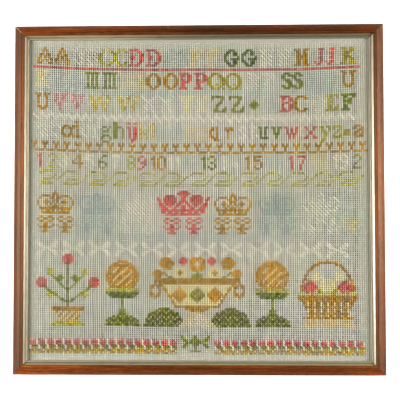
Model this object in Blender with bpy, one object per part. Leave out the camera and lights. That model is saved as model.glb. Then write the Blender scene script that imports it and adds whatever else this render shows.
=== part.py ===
"""Framed cross stitch sampler, lying on its back with its stitched face up.

Lengths are in metres and +Z is up. The origin is at the middle of the frame's back, which lies on z = 0.
+X runs to the sampler's right side and +Y to its top edge. Four mitred wooden rails hold a narrow gilt slip,
the stitched cloth lies behind the slip, and a plain board behind the cloth closes the rebate.
"""

import math

import bmesh
import bpy
from mathutils import Vector

MM = 0.001

# Outside of the wooden frame.
FRAME_WIDTH = 400 * MM
FRAME_HEIGHT = 378 * MM
FRAME_DEPTH = 18 * MM

# Section of the wooden rail, across from its outer side and up from its back.
RAIL_FACE = 11 * MM
RAIL_OUTER_HEIGHT = 13.4 * MM
RAIL_CROWN_ACROSS = 4.3 * MM
RAIL_CROWN_HEIGHT = 16.3 * MM
RAIL_LIP_UNDERSIDE = 14.4 * MM
RAIL_INNER_HEIGHT = 16.6 * MM
REBATE_FROM_OUTSIDE = 6 * MM
QUIRK_ACROSS = 8.5 * MM
QUIRK_HALF_WIDTH = 0.3 * MM
QUIRK_DEPTH = 0.45 * MM

# Section of the gilt slip that shows inside the wood.
SLIP_SIGHT_EDGE = 15.4 * MM
SLIP_CREST_END = 11.3 * MM
SLIP_VALLEY = 13.5 * MM
SLIP_BEAD_START = 13.9 * MM
SLIP_TOP = RAIL_LIP_UNDERSIDE - 0.3 * MM
SLIP_VALLEY_HEIGHT = 12.9 * MM
SLIP_BEAD_HEIGHT = 13.3 * MM
SLIP_UNDERSIDE = 9.8 * MM

# Stitched cloth and the board behind it.
CLEARANCE = 0.3 * MM
CLOTH_MARGIN_TOP = SLIP_UNDERSIDE - CLEARANCE
CLOTH_FIELD_DROP = 0.35 * MM
CLOTH_THICKNESS = 1.5 * MM
CLOTH_SIDE_GAP = 0.8 * MM
HEM_SHOWING = 6.5 * MM
HEM_SLOPE = 5 * MM
CLOTH_GRID = 10 * MM
BOARD_SIDE_GAP = 0.5 * MM
BOARD_THICKNESS = 3 * MM

# Half of the gap at a mitre, measured along the rail.
MITRE_RELIEF = 0.22 * MM
ARC_STEPS = 4

# Soft swells in the cloth: centre, half length, half width, turn of the length from +X, rise.
SWELL_COLUMNS = ("x", "y", "half_length", "half_width", "turn_deg", "rise")
SWELLS = (
    (-60 * MM, -150 * MM, 55 * MM, 12 * MM, 4, 0.30 * MM),
    (70 * MM, -152 * MM, 60 * MM, 11 * MM, -5, 0.28 * MM),
    (-130 * MM, 120 * MM, 70 * MM, 22 * MM, -3, 0.22 * MM),
    (20 * MM, 105 * MM, 90 * MM, 26 * MM, 0, -0.24 * MM),
    (135 * MM, 90 * MM, 60 * MM, 30 * MM, 12, 0.22 * MM),
    (-90 * MM, -20 * MM, 80 * MM, 34 * MM, 18, 0.18 * MM),
    (110 * MM, -50 * MM, 75 * MM, 30 * MM, -22, 0.20 * MM),
)

MAHOGANY = {"color": (0.165, 0.052, 0.022, 1.0), "roughness": 0.38, "metallic": 0.0}
GILT = {"color": (0.72, 0.68, 0.56, 1.0), "roughness": 0.34, "metallic": 0.85}
LINEN = {"color": (0.50, 0.49, 0.39, 1.0), "roughness": 0.95, "metallic": 0.0}
BOARD = {"color": (0.27, 0.17, 0.09, 1.0), "roughness": 0.8, "metallic": 0.0}


def clear_scene():
    """Removes every object that the file opened with."""
    for found in list(bpy.data.objects):
        bpy.data.objects.remove(found, do_unlink=True)


def make_material(name, look):
    """A Principled material with one colour, roughness and metallic value."""
    material = bpy.data.materials.new(name)
    material.use_nodes = True
    shader = material.node_tree.nodes["Principled BSDF"]
    shader.inputs["Base Color"].default_value = look["color"]
    shader.inputs["Roughness"].default_value = look["roughness"]
    shader.inputs["Metallic"].default_value = look["metallic"]
    material.diffuse_color = look["color"]
    return material


def rounded_outline(corners):
    """Turns (across, up, radius) corners into outline points, with an arc at each corner that has a radius."""
    points = []
    for index, (across, up, radius) in enumerate(corners):
        corner = Vector((across, up))
        if radius == 0:
            points.append(corner)
            continue
        before = (Vector(corners[index - 1][:2]) - corner).normalized()
        after = (Vector(corners[(index + 1) % len(corners)][:2]) - corner).normalized()
        half_angle = before.angle(after) / 2
        reach = radius / math.tan(half_angle)
        centre = corner + (before + after).normalized() * (radius / math.sin(half_angle))
        start = corner + before * reach - centre
        sweep = start.angle_signed(corner + after * reach - centre)
        for step in range(ARC_STEPS + 1):
            turn = -sweep * step / ARC_STEPS
            cosine, sine = math.cos(turn), math.sin(turn)
            points.append(centre + Vector((start.x * cosine - start.y * sine, start.x * sine + start.y * cosine)))
    return points


def rail_outline():
    """Section of the wooden rail: a crowned face that slopes outwards, a quirk, an inner bead and a rebate."""
    quirk_side = FRAME_DEPTH - 0.35 * MM
    return rounded_outline(
        [
            (0, 0, 0.4 * MM),
            (0, RAIL_OUTER_HEIGHT, 1.2 * MM),
            (RAIL_CROWN_ACROSS, RAIL_CROWN_HEIGHT, 12 * MM),
            (QUIRK_ACROSS - QUIRK_HALF_WIDTH, quirk_side, 0),
            (QUIRK_ACROSS, quirk_side - QUIRK_DEPTH, 0),
            (QUIRK_ACROSS + QUIRK_HALF_WIDTH, FRAME_DEPTH, 0),
            (9.3 * MM, FRAME_DEPTH, 0.8 * MM),
            (RAIL_FACE, RAIL_INNER_HEIGHT, 0.7 * MM),
            (RAIL_FACE, RAIL_LIP_UNDERSIDE, 0),
            (REBATE_FROM_OUTSIDE, RAIL_LIP_UNDERSIDE, 0),
            (REBATE_FROM_OUTSIDE, 0, 0),
        ]
    )


def slip_outline():
    """Section of the gilt slip: a flat under the wooden lip, a slope, a valley and a small bead at the sight edge."""
    outer = REBATE_FROM_OUTSIDE + CLEARANCE
    return rounded_outline(
        [
            (outer, SLIP_UNDERSIDE, 0),
            (outer, SLIP_TOP, 0),
            (SLIP_CREST_END, SLIP_TOP, 0.4 * MM),
            (SLIP_VALLEY, SLIP_VALLEY_HEIGHT, 0),
            (SLIP_BEAD_START, SLIP_BEAD_HEIGHT, 0.3 * MM),
            (SLIP_SIGHT_EDGE, SLIP_BEAD_HEIGHT, 0.5 * MM),
            (SLIP_SIGHT_EDGE, SLIP_UNDERSIDE, 0),
        ]
    )


def new_object(name, mesh, material):
    """Links a mesh to the scene as a named object with its material."""
    mesh.materials.append(material)
    made = bpy.data.objects.new(name, mesh)
    bpy.context.scene.collection.objects.link(made)
    return made


def mitred_bar(name, outline, side, material):
    """A bar of one section with both ends cut at 45 degrees, along local X, whose outer side is at local y = 0."""
    shape = bmesh.new()
    left_end = [
        shape.verts.new((-side / 2 + across + MITRE_RELIEF, across, up)) for across, up in outline
    ]
    end_face = shape.faces.new(left_end)
    grown = bmesh.ops.extrude_face_region(shape, geom=[end_face])
    for vert in (item for item in grown["geom"] if isinstance(item, bmesh.types.BMVert)):
        vert.co.x = -vert.co.x
    bmesh.ops.recalc_face_normals(shape, faces=shape.faces)
    mesh = bpy.data.meshes.new(name)
    shape.to_mesh(mesh)
    shape.free()
    mesh.shade_smooth()
    mesh.set_sharp_from_angle(angle=math.radians(40))
    return new_object(name, mesh, material)


def mitred_frame(prefix, outline, material):
    """Four mitred bars round the frame, each placed by its location and its turn about Z."""
    sides = (
        ("bottom", FRAME_WIDTH, (0, -FRAME_HEIGHT / 2, 0), 0),
        ("right", FRAME_HEIGHT, (FRAME_WIDTH / 2, 0, 0), 90),
        ("top", FRAME_WIDTH, (0, FRAME_HEIGHT / 2, 0), 180),
        ("left", FRAME_HEIGHT, (-FRAME_WIDTH / 2, 0, 0), 270),
    )
    for place, length, location, turn in sides:
        bar = mitred_bar(f"{prefix}_{place}", outline, length, material)
        bar.location = location
        bar.rotation_euler.z = math.radians(turn)


def smooth_step(value):
    """Rises smoothly from 0 to 1 as value goes from 0 to 1."""
    share = min(max(value, 0.0), 1.0)
    return share * share * (3 - 2 * share)


def cloth_height(x, y, half_x, half_y):
    """Top of the cloth: the hemmed margin lies high under the slip, and the field a little lower with soft swells."""
    inside = min(half_x - abs(x), half_y - abs(y))
    margin = SLIP_SIGHT_EDGE - REBATE_FROM_OUTSIDE + HEM_SHOWING
    in_field = smooth_step((inside - margin) / HEM_SLOPE)
    swell = 0.0
    for row in SWELLS:
        bump = dict(zip(SWELL_COLUMNS, row))
        turn = math.radians(bump["turn_deg"])
        off_x, off_y = x - bump["x"], y - bump["y"]
        along = (off_x * math.cos(turn) + off_y * math.sin(turn)) / bump["half_length"]
        across = (off_y * math.cos(turn) - off_x * math.sin(turn)) / bump["half_width"]
        swell += bump["rise"] * math.exp(-along * along - across * across)
    return CLOTH_MARGIN_TOP - (CLOTH_FIELD_DROP - swell) * in_field


def make_cloth(material):
    """The stitched cloth: one sheet with a flat back, whose front follows cloth_height."""
    half_x = FRAME_WIDTH / 2 - REBATE_FROM_OUTSIDE - CLOTH_SIDE_GAP
    half_y = FRAME_HEIGHT / 2 - REBATE_FROM_OUTSIDE - CLOTH_SIDE_GAP
    shape = bmesh.new()
    bmesh.ops.create_grid(
        shape,
        x_segments=round(2 * half_x / CLOTH_GRID),
        y_segments=round(2 * half_y / CLOTH_GRID),
        size=1.0,
    )
    for vert in shape.verts:
        vert.co.x *= half_x
        vert.co.y *= half_y
        vert.co.z = cloth_height(vert.co.x, vert.co.y, half_x, half_y)
    grown = bmesh.ops.extrude_face_region(shape, geom=shape.faces[:])
    back_faces = [item for item in grown["geom"] if isinstance(item, bmesh.types.BMFace)]
    for vert in (item for item in grown["geom"] if isinstance(item, bmesh.types.BMVert)):
        vert.co.z = CLOTH_MARGIN_TOP - CLOTH_THICKNESS
    bmesh.ops.dissolve_faces(shape, faces=back_faces)
    bmesh.ops.recalc_face_normals(shape, faces=shape.faces)
    mesh = bpy.data.meshes.new("sampler_cloth")
    shape.to_mesh(mesh)
    shape.free()
    mesh.shade_smooth()
    mesh.set_sharp_from_angle(angle=math.radians(40))
    new_object("sampler_cloth", mesh, material)


def make_board(material):
    """The plain board that the cloth lies on, with its arrises eased."""
    size = Vector(
        (
            FRAME_WIDTH - 2 * (REBATE_FROM_OUTSIDE + BOARD_SIDE_GAP),
            FRAME_HEIGHT - 2 * (REBATE_FROM_OUTSIDE + BOARD_SIDE_GAP),
            BOARD_THICKNESS,
        )
    )
    shape = bmesh.new()
    bmesh.ops.create_cube(shape, size=1.0)
    bmesh.ops.scale(shape, vec=size, verts=shape.verts)
    bmesh.ops.bevel(shape, geom=shape.edges[:], offset=0.3 * MM, segments=1, affect="EDGES")
    mesh = bpy.data.meshes.new("backing_board")
    shape.to_mesh(mesh)
    shape.free()
    board = new_object("backing_board", mesh, material)
    board.location.z = CLOTH_MARGIN_TOP - CLOTH_THICKNESS - CLEARANCE - BOARD_THICKNESS / 2


def main():
    """Builds every piece of the framed sampler."""
    clear_scene()
    mitred_frame("rail", rail_outline(), make_material("mahogany", MAHOGANY))
    mitred_frame("slip", slip_outline(), make_material("gilt", GILT))
    make_cloth(make_material("linen", LINEN))
    make_board(make_material("board", BOARD))


main()
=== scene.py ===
"""Looks of a framed cross stitch sampler: its wooden moulding, gilt slip, open linen ground and silk stitches.

Everything is in metres in the frame's own axes: +X to the sampler's right, +Y to its top edge and +Z out of its
stitched face. The frame lies on its back on a pale floor, and the camera looks down on it.
"""

from __future__ import annotations

import logging
import math
import sys
from dataclasses import dataclass, field
from enum import Enum

import bpy
import numpy as np
from mathutils import Matrix, Quaternion, Vector

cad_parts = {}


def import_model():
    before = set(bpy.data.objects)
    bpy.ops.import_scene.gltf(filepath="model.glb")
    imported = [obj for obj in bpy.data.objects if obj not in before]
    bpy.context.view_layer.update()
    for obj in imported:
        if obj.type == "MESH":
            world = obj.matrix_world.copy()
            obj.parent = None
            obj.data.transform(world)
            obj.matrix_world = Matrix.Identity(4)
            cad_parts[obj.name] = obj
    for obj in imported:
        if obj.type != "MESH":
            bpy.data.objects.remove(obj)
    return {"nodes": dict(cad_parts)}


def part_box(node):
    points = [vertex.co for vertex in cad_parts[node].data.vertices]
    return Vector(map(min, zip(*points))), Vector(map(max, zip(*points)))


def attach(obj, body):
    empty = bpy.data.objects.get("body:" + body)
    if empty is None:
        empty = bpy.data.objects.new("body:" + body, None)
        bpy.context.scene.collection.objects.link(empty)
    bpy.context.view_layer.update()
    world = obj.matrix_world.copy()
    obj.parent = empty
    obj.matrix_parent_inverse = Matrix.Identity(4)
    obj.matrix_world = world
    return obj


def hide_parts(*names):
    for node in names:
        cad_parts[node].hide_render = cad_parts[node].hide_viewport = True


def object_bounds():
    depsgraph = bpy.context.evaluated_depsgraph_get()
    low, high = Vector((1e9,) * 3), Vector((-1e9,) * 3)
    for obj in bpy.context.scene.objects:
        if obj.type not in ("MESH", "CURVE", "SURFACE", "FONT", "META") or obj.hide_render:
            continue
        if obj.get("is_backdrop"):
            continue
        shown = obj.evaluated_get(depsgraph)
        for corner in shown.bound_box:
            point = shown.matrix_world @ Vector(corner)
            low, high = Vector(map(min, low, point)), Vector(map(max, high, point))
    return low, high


MM = 0.001
BODY = "root"
LOG = logging.getLogger("sampler")

Colour = tuple[float, float, float]
Place = tuple[float, float, float]
Scales = tuple[float, float, float]


def linear(red: int, green: int, blue: int) -> Colour:
    """Turns a display colour of 0 to 255 a channel into scene-linear values.

    Args:
        red: The display red.
        green: The display green.
        blue: The display blue.

    Returns:
        The three linear values, by the sRGB curve.
    """
    shares = [channel / 255 for channel in (red, green, blue)]
    return tuple(s / 12.92 if s <= 0.04045 else ((s + 0.055) / 1.055) ** 2.4 for s in shares)


def linked(name: str, data: bpy.types.ID) -> bpy.types.Object:
    """Makes an object of the data and links it into the scene.

    Args:
        name: The object's name.
        data: Its mesh, light or camera.

    Returns:
        The new object.
    """
    made = bpy.data.objects.new(name, data)
    bpy.context.scene.collection.objects.link(made)
    return made


def smooth_step(share: np.ndarray) -> np.ndarray:
    """Rises smoothly from 0 to 1 while share goes from 0 to 1: 3s squared less 2s cubed, held at both ends."""
    held = np.clip(share, 0, 1)
    return held * held * (3 - 2 * held)


def blurred(values: np.ndarray, reach: float, axes: tuple[int, ...] = (0, 1)) -> np.ndarray:
    """Softens an array with a bell-shaped window along some of its axes.

    Args:
        values: The array to soften.
        reach: The bell's standard deviation, in cells.
        axes: The axes to soften along.

    Returns:
        The softened array, of the same shape.
    """
    span = math.ceil(3 * reach)
    bell = np.exp(-0.5 * (np.arange(-span, span + 1) / reach) ** 2)
    bell /= bell.sum()
    soft = values
    for axis in axes:
        padding = [(span, span) if index == axis else (0, 0) for index in range(values.ndim)]
        padded = np.pad(soft, padding, mode="edge")
        size = soft.shape[axis]
        soft = sum(
            weight * np.take(padded, np.arange(step, step + size), axis=axis) for step, weight in enumerate(bell)
        )
    return soft


class Channel:
    """A number socket of a material's node tree that takes part in Python arithmetic."""

    def __init__(self, graph: Graph, socket: bpy.types.NodeSocket) -> None:
        """Keeps the graph and the socket."""
        self.graph = graph
        self.socket = socket

    def _math(self, operation: str, first: object, second: object) -> Channel:
        """Adds a Math node for one operation and returns its result."""
        node = self.graph.node("ShaderNodeMath", {"operation": operation}, {0: first, 1: second})
        return Channel(self.graph, node.outputs[0])

    def __add__(self, other: Channel | float) -> Channel:
        """Sum."""
        return self._math("ADD", self, other)

    def __sub__(self, other: Channel | float) -> Channel:
        """Difference."""
        return self._math("SUBTRACT", self, other)

    def __rsub__(self, other: float) -> Channel:
        """Difference, with the number in front."""
        return self._math("SUBTRACT", other, self)

    def __mul__(self, other: Channel | float) -> Channel:
        """Product."""
        return self._math("MULTIPLY", self, other)

    __radd__ = __add__
    __rmul__ = __mul__

    def band(self, low: float, high: float) -> Channel:
        """Rises smoothly from 0 to 1 as the value goes from low to high."""
        node = self.graph.node(
            "ShaderNodeMapRange",
            {"interpolation_type": "SMOOTHSTEP"},
            {"Value": self, "From Min": low, "From Max": high},
        )
        return Channel(self.graph, node.outputs[0])


class Graph:
    """One material's node tree, with short methods for the nodes that the finishes use.

    MIX_FIRST, MIX_SECOND and MIX_RESULT are the numbers of a Mix node's two colour inputs and of its colour output.
    """

    MIX_FIRST, MIX_SECOND, MIX_RESULT = 6, 7, 2

    def __init__(self, name: str) -> None:
        """Makes the material and keeps its shader node.

        Args:
            name: The material's name.
        """
        self.material = bpy.data.materials.new(name)
        self.material.use_nodes = True
        self.tree = self.material.node_tree
        self.shader = self.tree.nodes["Principled BSDF"]

    def node(self, kind: str, settings: dict | None = None, inputs: dict | None = None) -> bpy.types.Node:
        """Adds a node, applies its settings first and then fills its sockets.

        Args:
            kind: The node's type name.
            settings: Properties of the node.
            inputs: Values, channels or sockets, by the input's name or number.

        Returns:
            The new node.
        """
        made = self.tree.nodes.new(kind)
        for key, value in (settings or {}).items():
            setattr(made, key, value)
        for key, value in (inputs or {}).items():
            self.feed(made.inputs[key], value)
        return made

    def feed(self, target: bpy.types.NodeSocket, value: object) -> None:
        """Links a channel or socket to an input, or sets the input's own value.

        Args:
            target: The input.
            value: A channel, a socket, a number, a colour or a vector.
        """
        source = value.socket if isinstance(value, Channel) else value
        if isinstance(source, bpy.types.NodeSocket):
            self.tree.links.new(source, target)
        elif target.type == "RGBA" and len(source) == 3:
            target.default_value = (*source, 1.0)
        else:
            target.default_value = source

    def place(self) -> bpy.types.NodeSocket:
        """The point's place in the frame, in metres."""
        return self.node("ShaderNodeTexCoord").outputs["Object"]

    def map(self, name: str) -> bpy.types.NodeSocket:
        """The piece's own UV map of that name."""
        return self.node("ShaderNodeUVMap", {"uv_map": name}).outputs["UV"]

    def mark(self, name: str) -> Channel:
        """A number kept in the piece's mesh."""
        return Channel(self, self.node("ShaderNodeAttribute", {"attribute_name": name}).outputs["Fac"])

    def tint(self, name: str) -> bpy.types.NodeSocket:
        """A colour kept in the piece's mesh."""
        return self.node("ShaderNodeAttribute", {"attribute_name": name}).outputs["Color"]

    def stretched(self, vector: bpy.types.NodeSocket, scales: Scales) -> bpy.types.NodeSocket:
        """Multiplies a place by three scales, so that a pattern runs longer where the scale is small."""
        return self.node("ShaderNodeVectorMath", {"operation": "MULTIPLY"}, {0: vector, 1: scales}).outputs[0]

    def noise(
        self, vector: bpy.types.NodeSocket, scales: Scales, detail: float = 3.0, roughness: float = 0.55
    ) -> Channel:
        """Fractal noise, with as many features to a metre as the scales say.

        Args:
            vector: The place or map that it is read at.
            scales: Features to a metre along each axis.
            detail: How many finer layers it has.
            roughness: How strong each finer layer is.

        Returns:
            The noise, mostly between 0.25 and 0.75.
        """
        spread = self.stretched(vector, scales)
        made = self.node(
            "ShaderNodeTexNoise", None, {"Vector": spread, "Scale": 1.0, "Detail": detail, "Roughness": roughness}
        )
        return Channel(self, made.outputs[0])

    def _blend(self, mode: str, share: Channel | float, first: object, second: object) -> bpy.types.NodeSocket:
        """Adds a colour Mix node.

        Args:
            mode: Its blend mode.
            share: The second colour's share.
            first: The first colour.
            second: The second colour.

        Returns:
            The mixed colour.
        """
        made = self.node(
            "ShaderNodeMix",
            {"data_type": "RGBA", "blend_type": mode},
            {"Factor": share, self.MIX_FIRST: first, self.MIX_SECOND: second},
        )
        return made.outputs[self.MIX_RESULT]

    def mixed(self, share: Channel | float, first: object, second: object) -> bpy.types.NodeSocket:
        """Goes from the first colour to the second as share goes from 0 to 1."""
        return self._blend("MIX", share, first, second)

    def multiplied(self, first: object, second: object) -> bpy.types.NodeSocket:
        """Multiplies two colours, channel by channel."""
        return self._blend("MULTIPLY", 1.0, first, second)

    def grey(self, value: Channel) -> bpy.types.NodeSocket:
        """A colour whose three channels are one number."""
        made = self.node("ShaderNodeCombineColor", None, {0: value, 1: value, 2: value})
        return made.outputs[0]

    def raised(self, height: Channel, distance: float, strength: float) -> None:
        """Feeds a height, in units of distance, to the shader's normal."""
        made = self.node("ShaderNodeBump", None, {"Height": height, "Distance": distance, "Strength": strength})
        self.feed(self.shader.inputs["Normal"], made.outputs[0])

    def finish(self, values: dict) -> bpy.types.Material:
        """Fills the shader's sockets.

        Args:
            values: Values, channels or sockets, by the socket's name.

        Returns:
            The finished material.
        """
        for key, value in values.items():
            self.feed(self.shader.inputs[key], value)
        return self.material


@dataclass
class Surface:
    """Corners and faces of one piece, with the numbers that its material reads from its mesh.

    Each array of faces holds faces of one size, and each map has one array of corner places for each array of faces.
    """

    corners: np.ndarray
    faces: list[np.ndarray]
    maps: dict[str, list[np.ndarray]] = field(default_factory=dict)
    marks: dict[str, np.ndarray] = field(default_factory=dict)

    def turned_out(self) -> Surface:
        """Reverses every face if the closed surface holds a negative volume.

        The volume is a sixth of the sum, over triangles, of each one's triple product, so only its sign is needed.

        Returns:
            The same surface.
        """
        volume = 0.0
        for group in self.faces:
            first = self.corners[group[:, 0]]
            for step in range(1, group.shape[1] - 1):
                second, third = self.corners[group[:, step]], self.corners[group[:, step + 1]]
                volume += float(np.einsum("ij,ij->", first, np.cross(second, third)))
        if volume < 0:
            self.faces = [group[:, ::-1] for group in self.faces]
            self.maps = {name: [part[:, ::-1] for part in parts] for name, parts in self.maps.items()}
        return self

    def mesh(self, name: str) -> bpy.types.Mesh:
        """Puts the arrays into a mesh.

        Args:
            name: The mesh's name.

        Returns:
            The mesh, smooth all over.
        """
        made = bpy.data.meshes.new(name)
        order = np.concatenate([group.ravel() for group in self.faces]).astype(np.int32)
        counts = np.concatenate([np.full(len(group), group.shape[1]) for group in self.faces])
        starts = np.concatenate([[0], np.cumsum(counts)[:-1]]).astype(np.int32)
        made.vertices.add(len(self.corners))
        made.vertices.foreach_set("co", self.corners.astype(np.float32).ravel())
        made.loops.add(len(order))
        made.loops.foreach_set("vertex_index", order)
        made.polygons.add(len(counts))
        made.polygons.foreach_set("loop_start", starts)
        made.update(calc_edges=True)
        for key, parts in self.maps.items():
            layer = made.uv_layers.new(name=key)
            flat = np.concatenate([part.reshape(-1, 2) for part in parts]).astype(np.float32)
            layer.uv.foreach_set("vector", flat.ravel())
        for key, values in self.marks.items():
            if values.ndim == 1:
                made.attributes.new(key, "FLOAT", "POINT").data.foreach_set("value", values.astype(np.float32))
            else:
                whole = np.concatenate([values, np.ones((len(values), 1))], axis=1).astype(np.float32)
                made.attributes.new(key, "FLOAT_COLOR", "POINT").data.foreach_set("color", whole.ravel())
        made.shade_smooth()
        return made

    def piece(
        self, name: str, material: bpy.types.Material, slot: str, crease_deg: float | None = None
    ) -> bpy.types.Object:
        """Makes the finished piece, which rides on the part's one body.

        Args:
            name: The piece's name.
            material: Its material.
            slot: A material slot's name, which is not used.
            crease_deg: The angle above which an edge is sharp, or None for none.

        Returns:
            The new object.
        """
        made = self.mesh(name)
        if crease_deg is not None:
            made.set_sharp_from_angle(angle=math.radians(crease_deg))
        made.materials.append(material)
        found = linked(name, made)
        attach(found, BODY)
        LOG.info("%s: %d faces", name, len(made.polygons))
        return found


def lattice(rows: int, columns: int, closed: bool = False) -> np.ndarray:
    """Quads of a grid of corners that is numbered row by row.

    Args:
        rows: The number of corners down.
        columns: The number of corners across.
        closed: Whether the last column joins the first.

    Returns:
        The corner numbers, four to a quad.
    """
    down = np.arange(rows - 1)[:, None]
    across = np.arange(columns if closed else columns - 1)[None, :]
    right = (across + 1) % columns
    corners = [down * columns + across, (down + 1) * columns + across]
    corners += [(down + 1) * columns + right, down * columns + right]
    return np.stack(np.broadcast_arrays(*corners), axis=-1).reshape(-1, 4)


def bar_faces(bars: int, rings: int) -> list[np.ndarray]:
    """Faces of many closed four-sided bars, numbered bar by bar, ring by ring.

    Args:
        bars: The number of bars.
        rings: The rings in each bar.

    Returns:
        The side quads of all bars, and the two end quads of each.
    """
    one = lattice(rings, 4, closed=True)
    ends = np.array([[3, 2, 1, 0], [0, 1, 2, 3]])
    ends[1] += 4 * (rings - 1)
    offsets = (np.arange(bars) * rings * 4)[:, None, None]
    return [(one[None] + offsets).reshape(-1, 4), (ends[None] + offsets).reshape(-1, 4)]


class Side(Enum):
    """A side of the frame, and the quarter turns that carry the bottom side to it."""

    BOTTOM = 0
    RIGHT = 1
    TOP = 2
    LEFT = 3

    @property
    def level(self) -> bool:
        """Whether it runs along the frame's width."""
        return self in (Side.BOTTOM, Side.TOP)


@dataclass
class Outline:
    """A closed section, given by its corners as (across, up, radius), in metres, with arc_steps to a round corner."""

    corners: tuple[tuple[float, float, float], ...]
    arc_steps: int = 8

    def points(self) -> np.ndarray:
        """Outline points: each corner, or the arc that touches both of its sides where it has a radius.

        The arc's centre lies on the line that halves the corner, at radius / sin(half angle) from it, and the arc
        meets each side at radius / tan(half angle) from the corner.

        Returns:
            The points as (across, up).
        """
        made = []
        spots = np.array([corner[:2] for corner in self.corners])
        for index, (_, _, radius) in enumerate(self.corners):
            spot = spots[index]
            if radius == 0:
                made.append(spot[None, :])
                continue
            before = spots[index - 1] - spot
            after = spots[(index + 1) % len(spots)] - spot
            before, after = before / np.linalg.norm(before), after / np.linalg.norm(after)
            half = math.acos(float(before @ after)) / 2
            middle = (before + after) / np.linalg.norm(before + after)
            centre = spot + middle * radius / math.sin(half)
            start = spot + before * radius / math.tan(half) - centre
            end = spot + after * radius / math.tan(half) - centre
            sweep = math.atan2(start[0] * end[1] - start[1] * end[0], float(start @ end))
            turn = np.linspace(0, sweep, self.arc_steps + 1)[:, None]
            across = start[0] * np.cos(turn) - start[1] * np.sin(turn)
            up = start[0] * np.sin(turn) + start[1] * np.cos(turn)
            made.append(centre + np.concatenate([across, up], axis=1))
        return np.concatenate(made)


def outward_turn(points: np.ndarray, reach: float, full: float = 1.2) -> np.ndarray:
    """How sharply a section turns near each of its points: up to 1 at an outer edge, and down to -1 in a groove.

    Args:
        points: The outline, clockwise from the outside as (across, up).
        reach: The length over which the turn is gathered, by a bell.
        full: The gathered turn that counts as 1, in radians.

    Returns:
        One value for each point.
    """
    before = points - np.roll(points, 1, axis=0)
    after = np.roll(points, -1, axis=0) - points
    turn = np.arctan2(
        before[:, 1] * after[:, 0] - before[:, 0] * after[:, 1], np.einsum("ij,ij->i", before, after)
    )
    apart = np.linalg.norm(points[:, None] - points[None, :], axis=2)
    gathered = (np.exp(-((apart / reach) ** 2)) * turn[None, :]).sum(axis=1)
    return np.clip(gathered / full, -1, 1)


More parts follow.
